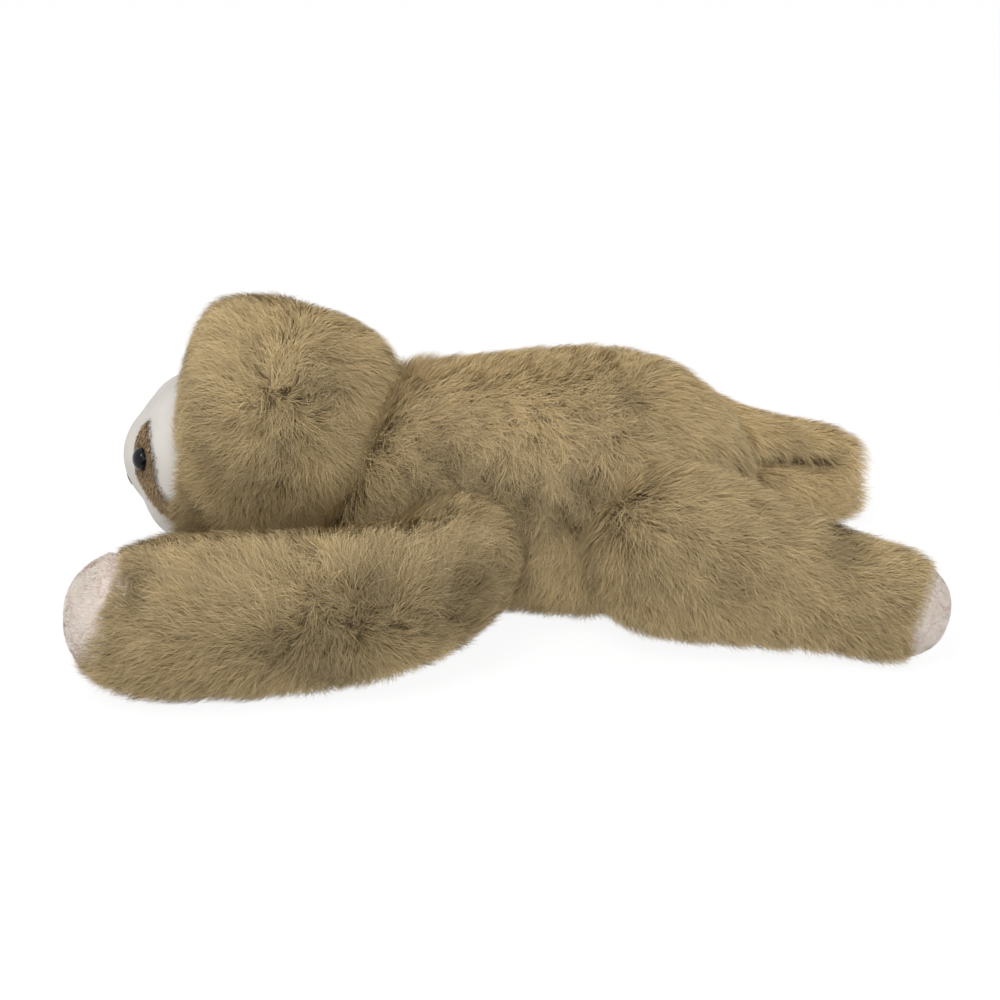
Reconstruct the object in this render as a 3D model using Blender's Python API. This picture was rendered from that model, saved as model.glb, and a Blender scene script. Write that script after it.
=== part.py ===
"""A plush sloth lying on its belly, as it is sewn: fur covers over stuffing, joined at the seams.

Metres, +Z up. The head points to -X, the left side is -Y, and the belly lies on Z = 0.
"""

import math

import bmesh
import bpy
from mathutils import Matrix, Vector

MM = 0.001

# Clearances and cloth
GAP = 0.3 * MM
OVERRUN = 5.0 * MM
FUR_DEPTH = 8.0 * MM
SHORT_PILE_DEPTH = 3.0 * MM
REST_FLAT_DEPTH = 0.5 * MM
FLOOR_Z = 0.0

# Outline powers: 2 is an oval, and more is squarer. What lies on the floor is squarer below
ROUND = (2.0, 2.0)
BODY_OUTLINE = (2.1, 3.2)
LIMB_OUTLINE = (2.0, 2.2)

# Body: its widest section, and how far it runs from there to each end
BODY_MIDDLE_X = 29.0 * MM
BODY_NECK_LENGTH = 130.0 * MM
BODY_RUMP_LENGTH = 74.0 * MM
BODY_HALF_WIDTH = 62.0 * MM
BODY_HALF_HEIGHT = 55.0 * MM

# Neck: the head nods on a breast that is round about the nod axis
NECK_X = -3.0 * MM
NECK_Z = 40.0 * MM
NECK_RADIUS = 68.0 * MM

# Head: blunt at the hood, which leans out over the chin, and egg-shaped behind
HEAD_MIDDLE_X = -112.0 * MM
HEAD_Z = 78.0 * MM
HEAD_FRONT_LENGTH = 34.0 * MM
HEAD_BACK_LENGTH = 66.0 * MM
HEAD_HALF_WIDTH = 55.0 * MM
HEAD_HALF_HEIGHT = 53.5 * MM
HEAD_FRONT_POWER = 3.2
HEAD_BACK_POWER = 2.2
HOOD_LEAN = 0.12

# Face: a short-pile dome in the hood, with a muzzle
FACE_X = -137.5 * MM
FACE_Z = 62.0 * MM
FACE_LENGTH = 25.0 * MM
FACE_SKIRT_LENGTH = 10.0 * MM
FACE_HALF_WIDTH = 40.0 * MM
FACE_HALF_HEIGHT = 36.5 * MM
FACE_POWER = 2.2
MUZZLE_X = -139.5 * MM
MUZZLE_Z = 62.0 * MM
MUZZLE_LENGTH = 29.5 * MM
MUZZLE_HALF_WIDTH = 17.0 * MM
MUZZLE_HALF_HEIGHT = 27.0 * MM

# Eyes: a domed button, its shank and the washer that holds it from inside
EYE_SIDE = 27.5 * MM
EYE_Z = 70.5 * MM
EYE_TURN = math.radians(29.0)
EYE_LIFT = math.radians(8.0)
EYE_RADIUS = 4.75 * MM
EYE_HEIGHT = 3.8 * MM
EYE_RIM = 0.8 * MM
SHANK_RADIUS = 1.6 * MM
SHANK_TAIL = 3.0 * MM
WASHER_RADIUS = 5.2 * MM
WASHER_THICKNESS = 1.5 * MM
WASHER_SINK = 0.8 * MM

# Eye patch: a leaf of brown short pile on the face, with a stripe down to the hood
PATCH_THICKNESS = 1.2 * MM

# Nose: a sewn pad on the muzzle
NOSE_HALF_WIDTH = 4.4 * MM
NOSE_HALF_HEIGHT = 2.9 * MM
NOSE_THICKNESS = 0.7 * MM
NOSE_Z = 52.0 * MM

# Arms: out of the shoulder's seam, round the elbow and forward to the paw
SHOULDER_X = -22.0 * MM
SHOULDER_Z = 39.0 * MM
SHOULDER_RADIUS = 27.0 * MM
SHOULDER_ROOT_SIDE = 48.5 * MM
SHOULDER_INSIDE = 10.0 * MM
ELBOW_REACH = 46.0 * MM
FOREARM_X = -56.0 * MM
FOREARM_SIDE = 102.0 * MM
PAW_X = -132.5 * MM
PAW_SIDE = 106.0 * MM
PAW_RADIUS = 33.0 * MM
PAW_DOME = 48.0 * MM
PAW_TIP_Z = 36.0 * MM
PAW_SEAM_X = -165.0 * MM
PAW_SEAM_TILT = math.radians(21.0)

# Legs: from the hip back to the foot. The right leg lies further out than the left
HIP_X = 64.0 * MM
HIP_Z = 41.0 * MM
HIP_SIDE = 53.0 * MM
HIP_RADIUS = 37.0 * MM
HIP_ROOT_SIDE = 50.0 * MM
LEG_LENGTH = {"left": 83.2 * MM, "right": 76.0 * MM}
LEG_SPLAY = {"left": math.radians(12.0), "right": math.radians(22.0)}
FOOT_RADIUS = 25.5 * MM
FOOT_DOME = 36.0 * MM
FOOT_SEAM_BACK = 22.0 * MM
FOOT_SEAM_DROP = 3.0 * MM
FOOT_SEAM_TILT = math.radians(13.0)

# Pale tips: the short pile lies this much lower than the fur round it
TIP_STEP = 3.0 * MM

# Sizes that follow from those above
NECK_PIVOT = (NECK_X, 0, NECK_Z)
WASHER_DEPTH = SHORT_PILE_DEPTH + WASHER_SINK + GAP
FACE_SEAT_DEPTH = FACE_SKIRT_LENGTH + 2 * OVERRUN
FACE_EDGE_X = FACE_X + FACE_SKIRT_LENGTH - SHORT_PILE_DEPTH

# Joint clearance: how far round each limb's root the body's side is hollowed
ROOT_MARGIN = 4.0 * MM
ROOT_FLARE = 16.0 * MM

# Mesh fineness, in counts
ROUND_SIDES = 20
END_RINGS = 4
SHAFT_RINGS = 4
SMALL_SIDES = 16
CUT_SIDES = 28
NECK_SIDES = 40

FUR_TAN = (0.40, 0.30, 0.16)
STUFFING_WHITE = (0.86, 0.86, 0.84)
FACE_CREAM = (0.82, 0.79, 0.74)
PATCH_BROWN = (0.18, 0.10, 0.05)
EYE_BLACK = (0.01, 0.01, 0.012)
WASHER_WHITE = (0.75, 0.75, 0.73)
NOSE_BROWN = (0.06, 0.035, 0.025)
TIP_BLUSH = (0.80, 0.72, 0.68)

SIDES = (("left", -1), ("right", 1))


def clear_scene():
    for old in list(bpy.data.objects):
        bpy.data.objects.remove(old, do_unlink=True)


def new_collection(name):
    collection = bpy.data.collections.new(name)
    bpy.context.scene.collection.children.link(collection)
    return collection


clear_scene()
PARTS = new_collection("plush_sloth")
CUTTERS = new_collection("cutters")
MATERIALS = {}


def material(name, colour, roughness):
    if name not in MATERIALS:
        made = bpy.data.materials.new(name)
        made.use_nodes = True
        shader = made.node_tree.nodes["Principled BSDF"]
        shader.inputs["Base Color"].default_value = (*colour, 1.0)
        shader.inputs["Roughness"].default_value = roughness
        shader.inputs["Metallic"].default_value = 0.0
        MATERIALS[name] = made
    return MATERIALS[name]


def link(mesh, name, collection, origin=(0, 0, 0)):
    """An object for a mesh given in world coordinates, with its own origin."""
    mesh.transform(Matrix.Translation(-Vector(origin)))
    piece = bpy.data.objects.new(name, mesh)
    piece.location = origin
    collection.objects.link(piece)
    if collection is CUTTERS:
        piece.hide_render = True
        piece.display_type = "WIRE"
    return piece


def bmesh_object(work, name, collection, origin=(0, 0, 0)):
    bmesh.ops.recalc_face_normals(work, faces=work.faces)
    mesh = bpy.data.meshes.new(name)
    work.to_mesh(mesh)
    work.free()
    return link(mesh, name, collection, origin)


def boolean(piece, operation, other):
    """Cuts or joins one piece with another, and keeps the result in its mesh."""
    cut = piece.modifiers.new(operation.title(), "BOOLEAN")
    cut.operation = operation
    cut.object = other
    cut.solver = "EXACT"
    bpy.context.view_layer.update()
    shaped = piece.evaluated_get(bpy.context.evaluated_depsgraph_get())
    result = bpy.data.meshes.new_from_object(shaped)
    piece.modifiers.remove(cut)
    piece.data = result
    return piece


def finish(piece, name, colour_name, colour, roughness=0.9):
    """Names a piece, gives it its material and shades its round surfaces smooth."""
    piece.name = name
    piece.data.name = name
    piece.data.materials.clear()
    piece.data.materials.append(material(colour_name, colour, roughness))
    piece.data.shade_smooth()
    piece.data.set_sharp_from_angle(angle=math.radians(40))
    return piece


# Moulded forms: each is a loft of oval rings between two poles

def oval(half_width, half_height, powers):
    """An oval's points as (across, up). Its upper and lower halves may be unlike."""
    points = []
    for k in range(ROUND_SIDES):
        angle = 2 * math.pi * (k + 0.5) / ROUND_SIDES
        c, s = math.cos(angle), math.sin(angle)
        power = powers[0] if s > 0 else powers[1]
        points.append((math.copysign(abs(c) ** (2 / power), c) * half_width,
                       math.copysign(abs(s) ** (2 / power), s) * half_height))
    return points


def loft(name, start, rings, end):
    """A closed skin from a pole through rings of (centre, across, up, oval points) to a pole."""
    work = bmesh.new()
    first, last = work.verts.new(start), work.verts.new(end)
    loops = [[work.verts.new(centre + across * y + up * z) for y, z in points]
             for centre, across, up, points in rings]
    for k in range(ROUND_SIDES):
        n = (k + 1) % ROUND_SIDES
        work.faces.new((first, loops[0][k], loops[0][n]))
        work.faces.new((last, loops[-1][n], loops[-1][k]))
        for a, b in zip(loops, loops[1:]):
            work.faces.new((a[k], b[k], b[n], a[n]))
    return bmesh_object(work, name, CUTTERS)


END_ANGLES = [math.pi / 2 * (i + 1) / (END_RINGS + 1) for i in range(END_RINGS)]
ACROSS, UP = Vector((0, 1, 0)), Vector((0, 0, 1))


def resting_height(half_height, outline):
    """How high a form's middle lies when the floor presses it flat below."""
    lowest = min(up for _, up in oval(half_height, half_height, outline))
    return FLOOR_Z - lowest - REST_FLAT_DEPTH


def egg(name, centre, lengths, half_width, half_height, powers, inset=0.0, outline=ROUND,
        lean=0.0):
    """A form that is widest at its centre, with unlike lengths and bluntness to -X and +X.

    lean is how far its front slants back per length that it rises.
    """
    centre = Vector(centre)
    front, back = lengths[0] - inset, lengths[1] - inset
    width, height = half_width - inset, half_height - inset

    def ring(along, share):
        slant = Vector((lean * max(0.0, -along / front), 0, 0))
        return (centre + Vector((along, 0, 0)), ACROSS, UP + slant,
                oval(width * share, height * share, outline))

    rings = [ring(-front * math.cos(a) ** (2 / powers[0]), math.sin(a)) for a in END_ANGLES]
    rings.append(ring(0, 1))
    rings += [ring(back * math.cos(a) ** (2 / powers[1]), math.sin(a))
              for a in reversed(END_ANGLES)]
    return loft(name, centre - Vector((front, 0, 0)), rings, centre + Vector((back, 0, 0)))


def bezier(points, t):
    """A point of the curve that four points steer, and its direction there."""
    a, b, c, d = points
    u = 1 - t
    place = a * u ** 3 + b * (3 * u * u * t) + c * (3 * u * t * t) + d * t ** 3
    heading = (b - a) * (u * u) + (c - b) * (2 * u * t) + (d - c) * (t * t)
    return place, heading.normalized()


def sausage(name, spine, root_radius, tip_radius, dome, inset=0.0, outline=LIMB_OUTLINE):
    """A stuffed limb along a spine: a ball at its root, a shaft that swells and a long dome."""
    sizes = root_radius - inset, tip_radius - inset
    rings = []

    def ring(centre, heading, size):
        across = heading.cross(UP).normalized()
        up = across.cross(heading)
        rings.append((centre, across, up, oval(size, size, outline)))

    start, heading = bezier(spine, 0)
    for angle in END_ANGLES:
        ring(start - heading * sizes[0] * math.cos(angle), heading, sizes[0] * math.sin(angle))
    first_pole = start - heading * sizes[0]
    for step in range(SHAFT_RINGS + 2):
        t = step / (SHAFT_RINGS + 1)
        place, heading = bezier(spine, t)
        ring(place, heading, sizes[0] + (sizes[1] - sizes[0]) * (3 - 2 * t) * t * t)
    end, heading = bezier(spine, 1)
    for angle in reversed(END_ANGLES):
        ring(end + heading * (dome - inset) * math.cos(angle), heading,
             sizes[1] * math.sin(angle))
    return loft(name, first_pole, rings, end + heading * (dome - inset))


def block(name, low, high):
    """A box cutter from its low corner to its high one."""
    work = bmesh.new()
    bmesh.ops.create_cube(work, size=1.0)
    low, high = Vector(low), Vector(high)
    size = high - low
    bmesh.ops.scale(work, vec=size, verts=work.verts)
    bmesh.ops.translate(work, vec=(low + high) / 2, verts=work.verts)
    return bmesh_object(work, name, CUTTERS)


def frustum(name, centre, direction, low_radius, high_radius, length, sides, collection=CUTTERS):
    """A round plug that starts at centre and runs along direction."""
    work = bmesh.new()
    bmesh.ops.create_cone(work, cap_ends=True, segments=sides, radius1=low_radius,
                          radius2=high_radius, depth=length)
    bmesh.ops.translate(work, vec=(0, 0, length / 2), verts=work.verts)
    turn = Vector((0, 0, 1)).rotation_difference(Vector(direction)).to_matrix()
    bmesh.ops.rotate(work, matrix=turn, verts=work.verts)
    bmesh.ops.translate(work, vec=centre, verts=work.verts)
    return bmesh_object(work, name, collection)


def turned(name, profile, centre, direction, sides):
    """A solid turned from (radius, height) points about a line from centre along direction."""
    work = bmesh.new()
    verts = [work.verts.new((radius, 0, height)) for radius, height in profile]
    edges = [work.edges.new(pair) for pair in zip(verts, verts[1:])]
    bmesh.ops.spin(work, geom=verts + edges, cent=(0, 0, 0), axis=(0, 0, 1),
                   angle=2 * math.pi, steps=sides)
    bmesh.ops.remove_doubles(work, verts=work.verts, dist=0.01 * MM)
    turn = Vector((0, 0, 1)).rotation_difference(Vector(direction)).to_matrix()
    bmesh.ops.rotate(work, matrix=turn, verts=work.verts)
    bmesh.ops.translate(work, vec=centre, verts=work.verts)
    return bmesh_object(work, name, CUTTERS)


# Where things stop: the floor, the breast, the roots of the limbs

WORLD = BODY_NECK_LENGTH + HEAD_BACK_LENGTH + LEG_LENGTH["left"]
ROOTS = {
    "arm": (SHOULDER_X, SHOULDER_Z, SHOULDER_ROOT_SIDE, SHOULDER_RADIUS),
    "leg": (HIP_X, HIP_Z, HIP_ROOT_SIDE, HIP_RADIUS),
}


def cut_flat(piece):
    """Takes away what would sink into the surface that the toy lies on."""
    floor = block("floor", (-WORLD, -WORLD, -WORLD), (WORLD, WORLD, FLOOR_Z))
    return boolean(piece, "DIFFERENCE", floor)


def breast(radius):
    """The round along the nod axis that parts the head from the body."""
    return frustum("breast", (NECK_X, -WORLD / 2, NECK_Z), (0, 1, 0), radius, radius, WORLD,
                   NECK_SIDES)


def keep_in_breast(piece):
    """Rounds the front of the body about the nod axis."""
    ahead = block("ahead_of_neck", (-WORLD, -WORLD, -WORLD), (NECK_X, WORLD, WORLD))
    boolean(ahead, "DIFFERENCE", breast(NECK_RADIUS))
    return boolean(piece, "DIFFERENCE", ahead)


def hollow_root(piece, limb, side, depth):
    """Hollows the body's side for a limb's root, depth inside the seam, with a flared edge."""
    x, z, seam_side, radius = ROOTS[limb]
    bottom = radius + ROOT_MARGIN + depth
    plug = frustum("root_hollow", (x, side * (seam_side - depth), z), (0, side, 0),
                   bottom, bottom + ROOT_FLARE, ROOT_FLARE, CUT_SIDES)
    return boolean(piece, "DIFFERENCE", plug)


def body_form(name, inset):
    form = egg(name, (BODY_MIDDLE_X, 0, resting_height(BODY_HALF_HEIGHT, BODY_OUTLINE)),
               (BODY_NECK_LENGTH, BODY_RUMP_LENGTH), BODY_HALF_WIDTH, BODY_HALF_HEIGHT,
               ROUND, inset, BODY_OUTLINE)
    for limb in ROOTS:
        for _, side in SIDES:
            hollow_root(form, limb, side, GAP / 2 + inset)
    return form


def head_form(name, inset):
    return egg(name, (HEAD_MIDDLE_X, 0, HEAD_Z), (HEAD_FRONT_LENGTH, HEAD_BACK_LENGTH),
               HEAD_HALF_WIDTH, HEAD_HALF_HEIGHT, (HEAD_FRONT_POWER, HEAD_BACK_POWER), inset,
               lean=HOOD_LEAN)


def face_form(name, inset, skirt=FACE_SKIRT_LENGTH):
    """The face's dome and muzzle in one skin, grown or shrunk by inset."""
    dome = egg(name, (FACE_X, 0, FACE_Z), (FACE_LENGTH, skirt), FACE_HALF_WIDTH,
               FACE_HALF_HEIGHT, (FACE_POWER, 2 * FACE_POWER), inset, (FACE_POWER, FACE_POWER))
    muzzle = egg("muzzle", (MUZZLE_X, 0, MUZZLE_Z), (MUZZLE_LENGTH, skirt),
                 MUZZLE_HALF_WIDTH, MUZZLE_HALF_HEIGHT, ROUND, inset)
    return boolean(dome, "UNION", muzzle)


def show(piece):
    """Makes a form that was worked as a cutter one of the toy's own pieces."""
    CUTTERS.objects.unlink(piece)
    PARTS.objects.link(piece)
    piece.hide_render = False
    piece.display_type = "TEXTURED"
    return piece


def set_origin(piece, origin):
    """Puts a piece's origin on its joint's axis without moving its surface."""
    piece.data.transform(Matrix.Translation(piece.location - Vector(origin)))
    piece.location = origin
    return piece


# Body

def make_body():
    cover = body_form("cover", 0.0)
    boolean(cover, "DIFFERENCE", body_form("body_hollow", FUR_DEPTH - GAP))
    cut_flat(keep_in_breast(cover))
    finish(show(cover), "body_cover", "fur_tan", FUR_TAN)

    stuffing = keep_in_breast(body_form("stuffing", FUR_DEPTH))
    finish(show(stuffing), "body_stuffing", "stuffing_white", STUFFING_WHITE)


# Head

def face_surface_x(y, z, out=0.0):
    """Where the face's dome lies at a point seen from the front."""
    across = abs(y / (FACE_HALF_WIDTH + out)) ** FACE_POWER
    up = abs((z - FACE_Z) / (FACE_HALF_HEIGHT + out)) ** FACE_POWER
    rest = max(0.0, 1 - across - up)
    return FACE_X - (FACE_LENGTH + out) * rest ** (1 / FACE_POWER)


def eye_frame(side):
    """The eye's seat on the patch and the direction that it looks in."""
    seat = Vector((face_surface_x(EYE_SIDE, EYE_Z), side * EYE_SIDE, EYE_Z))
    look = Vector((-math.cos(EYE_TURN) * math.cos(EYE_LIFT),
                   side * math.sin(EYE_TURN) * math.cos(EYE_LIFT), math.sin(EYE_LIFT)))
    return seat, look


def make_eye(side_name, side):
    """A domed eye on its shank, and the washer behind the face's cloth."""
    seat, look = eye_frame(side)
    back = seat + look * GAP
    profile = [(0.0, EYE_HEIGHT)]
    for i in range(1, END_RINGS + 1):
        angle = math.pi / 2 * i / END_RINGS
        profile.append((EYE_RADIUS * math.sin(angle),
                        EYE_RIM + (EYE_HEIGHT - EYE_RIM) * math.cos(angle)))
    reach = WASHER_DEPTH + WASHER_THICKNESS + SHANK_TAIL
    profile += [(EYE_RADIUS, 0.0), (SHANK_RADIUS, 0.0), (SHANK_RADIUS, -reach), (0.0, -reach)]
    eye = turned("eye", profile, back, look, SMALL_SIDES)
    set_origin(show(eye), NECK_PIVOT)
    finish(eye, f"eye_{side_name}", "eye_black", EYE_BLACK, 0.05)

    inner = seat - look * WASHER_DEPTH
    bore = SHANK_RADIUS + GAP
    ring = [(bore, 0.0), (WASHER_RADIUS, 0.0), (WASHER_RADIUS, -WASHER_THICKNESS),
            (bore, -WASHER_THICKNESS), (bore, 0.0)]
    washer = turned("washer", ring, inner, look, SMALL_SIDES)
    set_origin(show(washer), NECK_PIVOT)
    finish(washer, f"eye_washer_{side_name}", "washer_white", WASHER_WHITE, 0.4)


def shank_hole(side):
    seat, look = eye_frame(side)
    deep = WASHER_DEPTH + WASHER_THICKNESS + SHANK_TAIL + OVERRUN
    return frustum("shank_hole", seat + look * OVERRUN, -look, SHANK_RADIUS + GAP,
                   SHANK_RADIUS + GAP, deep, SMALL_SIDES)


def eye_hole(side):
    """The hole in the patch that the eye's dome stands in."""
    seat, look = eye_frame(side)
    return frustum("eye_hole", seat - look * OVERRUN, look, EYE_RADIUS + GAP, EYE_RADIUS + GAP,
                   2 * OVERRUN, SMALL_SIDES)


def washer_pocket(side, above):
    """The room that the washer and the shank's end need, from above the washer's face."""
    seat, look = eye_frame(side)
    start = seat - look * (WASHER_DEPTH - above)
    deep = above + WASHER_THICKNESS + SHANK_TAIL + 2 * GAP
    return frustum("washer_pocket", start, -look, WASHER_RADIUS + GAP, WASHER_RADIUS + GAP,
                   deep, SMALL_SIDES)


# The patch seen from the front, as shares of the face's half width and half height:
# a leaf round the eye, then a stripe down and out to the hood
PATCH_SHARES = (
    (0.46, 0.62), (0.37, 0.42), (0.37, 0.22), (0.45, 0.04), (0.66, -0.06), (0.82, -0.22),
    (0.90, -0.44), (1.02, -0.40), (0.99, -0.20), (0.95, -0.02), (0.90, 0.14), (0.86, 0.30),
    (0.68, 0.50),
)


def make_patch(side_name, side):
    """Cloth laid on the face: what the patch's outline cuts from a thin layer over it."""
    patch = face_form("patch", -(PATCH_THICKNESS + GAP))
    boolean(patch, "DIFFERENCE", face_form("patch_inside", -GAP))
    outline = bpy.data.curves.new("patch_outline", "CURVE")
    outline.dimensions = "2D"
    outline.fill_mode = "BOTH"
    outline.extrude = FACE_LENGTH
    outline.resolution_u = 3
    spline = outline.splines.new("BEZIER")
    spline.bezier_points.add(len(PATCH_SHARES) - 1)
    for point, (across, up) in zip(spline.bezier_points, PATCH_SHARES):
        point.co = (side * across * FACE_HALF_WIDTH, up * FACE_HALF_HEIGHT, 0)
        point.handle_left_type = point.handle_right_type = "AUTO"
    spline.use_cyclic_u = True
    shape = bpy.data.objects.new("patch_outline", outline)
    CUTTERS.objects.link(shape)
    bpy.context.view_layer.update()
    mesh = bpy.data.meshes.new_from_object(
        shape.evaluated_get(bpy.context.evaluated_depsgraph_get()))
    bpy.data.objects.remove(shape)
    stand = Matrix(((0, 0, 1, FACE_X - FACE_LENGTH / 2), (1, 0, 0, 0), (0, 1, 0, FACE_Z),
                    (0, 0, 0, 1)))
    mesh.transform(stand)
    work = bmesh.new()
    work.from_mesh(mesh)
    bmesh.ops.remove_doubles(work, verts=work.verts, dist=0.01 * MM)
    cutter = bmesh_object(work, "patch_cutter", CUTTERS)
    boolean(patch, "INTERSECT", cutter)
    boolean(patch, "DIFFERENCE", eye_hole(side))
    boolean(patch, "DIFFERENCE", head_form("hood", -GAP))
    set_origin(show(patch), NECK_PIVOT)
    finish(patch, f"eye_patch_{side_name}", "patch_brown", PATCH_BROWN)


def make_nose():
    """A sewn pad that follows the muzzle below its tip."""
    pad = face_form("nose", -(NOSE_THICKNESS + GAP))
    boolean(pad, "DIFFERENCE", face_form("nose_inside", -GAP))
    edge = egg("nose_edge", (MUZZLE_X - MUZZLE_LENGTH, 0, NOSE_Z), (MUZZLE_LENGTH / 2,) * 2,
               NOSE_HALF_WIDTH, NOSE_HALF_HEIGHT, (8.0, 8.0))
    boolean(pad, "INTERSECT", edge)
    set_origin(show(pad), NECK_PIVOT)
    finish(pad, "nose", "nose_brown", NOSE_BROWN, 0.6)


def make_head():
    room = breast((NECK_RADIUS + GAP) / math.cos(math.pi / NECK_SIDES))

    cover = head_form("head_cover", 0.0)
    boolean(cover, "DIFFERENCE", head_form("head_hollow", FUR_DEPTH - GAP))
    boolean(cover, "DIFFERENCE", face_form("face_room", -GAP))
    boolean(cover, "DIFFERENCE", room)
    set_origin(show(cover), NECK_PIVOT)
    finish(cover, "head_cover", "fur_tan", FUR_TAN)

    face = face_form("face_panel", 0.0)
    boolean(face, "DIFFERENCE", face_form("face_hollow", SHORT_PILE_DEPTH, FACE_SEAT_DEPTH))
    behind = block("behind_face", (FACE_EDGE_X, -WORLD, -WORLD), (WORLD, WORLD, WORLD))
    boolean(face, "DIFFERENCE", behind)

    # The throat's sides lie a gap inside the filling's skin
    filled = head_form("filled", FUR_DEPTH + GAP)
    before = block("before_edge", (-WORLD, -WORLD, -WORLD), (FACE_EDGE_X, WORLD, WORLD))
    boolean(filled, "UNION", before)
    throat = face_form("throat", SHORT_PILE_DEPTH + GAP, FACE_SEAT_DEPTH)
    boolean(throat, "INTERSECT", filled)
    stuffing = head_form("head_stuffing", FUR_DEPTH)
    boolean(stuffing, "DIFFERENCE", face_form("face_seat", -GAP))
    boolean(stuffing, "UNION", throat)
    boolean(stuffing, "DIFFERENCE", room)
    for _, side in SIDES:
        boolean(face, "DIFFERENCE", shank_hole(side))
        boolean(face, "DIFFERENCE", washer_pocket(side, GAP))
        boolean(stuffing, "DIFFERENCE", washer_pocket(side, WASHER_DEPTH))
    set_origin(show(face), NECK_PIVOT)
    finish(face, "face_panel", "face_cream", FACE_CREAM)
    set_origin(show(stuffing), NECK_PIVOT)
    finish(stuffing, "head_stuffing", "stuffing_white", STUFFING_WHITE)

    for side_name, side in SIDES:
        make_patch(side_name, side)
        make_eye(side_name, side)
    make_nose()


# Limbs

def arm_spine(side_name, side):
    """From inside the shoulder's seam out to the elbow's bend, then forward to the paw."""
    paw_z = resting_height(PAW_RADIUS, LIMB_OUTLINE)
    inside = SHOULDER_ROOT_SIDE - SHOULDER_INSIDE
    return [Vector((SHOULDER_X, side * inside, SHOULDER_Z)),
            Vector((SHOULDER_X, side * (SHOULDER_ROOT_SIDE + ELBOW_REACH), SHOULDER_Z)),
            Vector((FOREARM_X, side * FOREARM_SIDE, paw_z)),
            Vector((PAW_X, side * PAW_SIDE, paw_z))]


def leg_spine(side_name, side):
    """Straight back and outward from the hip to the foot."""
    length, splay = LEG_LENGTH[side_name], LEG_SPLAY[side_name]
    hip = Vector((HIP_X, side * HIP_SIDE, HIP_Z))
    foot = Vector((HIP_X + length * math.cos(splay),
                   side * (HIP_SIDE + length * math.sin(splay)),
                   resting_height(FOOT_RADIUS, LIMB_OUTLINE)))
    return [hip, hip.lerp(foot, 1 / 3), hip.lerp(foot, 2 / 3), foot]


LIMBS = {
    "arm": dict(spine=arm_spine, sizes=(SHOULDER_RADIUS, PAW_RADIUS, PAW_DOME),
                tip_name="paw_tip", seam_tilt=PAW_SEAM_TILT),
    "leg": dict(spine=leg_spine, sizes=(HIP_RADIUS, FOOT_RADIUS, FOOT_DOME),
                tip_name="foot_tip", seam_tilt=FOOT_SEAM_TILT),
}


def limb_form(name, limb, side_name, side, inset):
    spec = LIMBS[limb]
    return sausage(name, spec["spine"](side_name, side), *spec["sizes"], inset)


def tip_seam(limb, side_name, side):
    """Where a pale tip is sewn on: a point of the seam's plane and its outward direction."""
    end, heading = bezier(LIMBS[limb]["spine"](side_name, side), 1)
    if limb == "arm":
        return Vector((PAW_SEAM_X, end.y, PAW_TIP_Z)), heading
    return end + heading * FOOT_SEAM_BACK - UP * FOOT_SEAM_DROP, heading


def past_seam(limb, side_name, side, shift):
    """The half of space on the tip's side of its seam, shift further out."""
    place, heading = tip_seam(limb, side_name, side)
    level = Vector((heading.x, heading.y, 0)).normalized()
    tilt = LIMBS[limb]["seam_tilt"] * (-1 if limb == "leg" else 1)
    out = level * math.cos(tilt) + UP * math.sin(tilt)
    return frustum("past_seam", place + out * shift, out, WORLD, WORLD, WORLD, CUT_SIDES)


def root_room(limb, side):
    """The body's side of a limb's root: a disc on the seam that widens inwards."""
    x, z, seam_side, radius = ROOTS[limb]
    deep = seam_side + GAP / 2
    near = radius + ROOT_MARGIN + GAP
    return frustum("root_room", (x, side * deep, z), (0, -side, 0), near, near + deep, deep,
                   CUT_SIDES)


def make_limb(limb, side_name, side):
    x, z, seam_side, _ = ROOTS[limb]
    pivot = (x, side * seam_side, z)
    room = root_room(limb, side)

    cover = limb_form("cover", limb, side_name, side, 0.0)
    boolean(cover, "DIFFERENCE", limb_form("hollow", limb, side_name, side, FUR_DEPTH - GAP))
    boolean(cover, "DIFFERENCE", room)
    boolean(cover, "DIFFERENCE", past_seam(limb, side_name, side, -GAP / 2))
    cut_flat(cover)
    set_origin(show(cover), pivot)
    finish(cover, f"{limb}_cover_{side_name}", "fur_tan", FUR_TAN)

    tip = limb_form("tip", limb, side_name, side, TIP_STEP)
    inside = TIP_STEP + SHORT_PILE_DEPTH
    boolean(tip, "DIFFERENCE", limb_form("tip_hollow", limb, side_name, side, inside))
    boolean(tip, "INTERSECT", past_seam(limb, side_name, side, GAP / 2))
    cut_flat(tip)
    set_origin(show(tip), pivot)
    finish(tip, f"{LIMBS[limb]['tip_name']}_{side_name}", "tip_blush", TIP_BLUSH)

    stuffing = limb_form("stuffing", limb, side_name, side, FUR_DEPTH)
    end = limb_form("end", limb, side_name, side, inside + GAP)
    boolean(end, "INTERSECT", past_seam(limb, side_name, side, GAP))
    boolean(stuffing, "UNION", end)
    boolean(stuffing, "DIFFERENCE", room)
    set_origin(show(stuffing), pivot)
    finish(stuffing, f"{limb}_stuffing_{side_name}", "stuffing_white", STUFFING_WHITE)


def main():
    make_body()
    make_head()
    for limb in LIMBS:
        for side_name, side in SIDES:
            make_limb(limb, side_name, side)


main()
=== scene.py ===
"""The plush sloth as it is photographed: long tan pile on stuffed skins, and a short-pile face."""

import math

import bmesh
import bpy
import numpy as np
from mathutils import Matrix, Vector, kdtree


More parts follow.
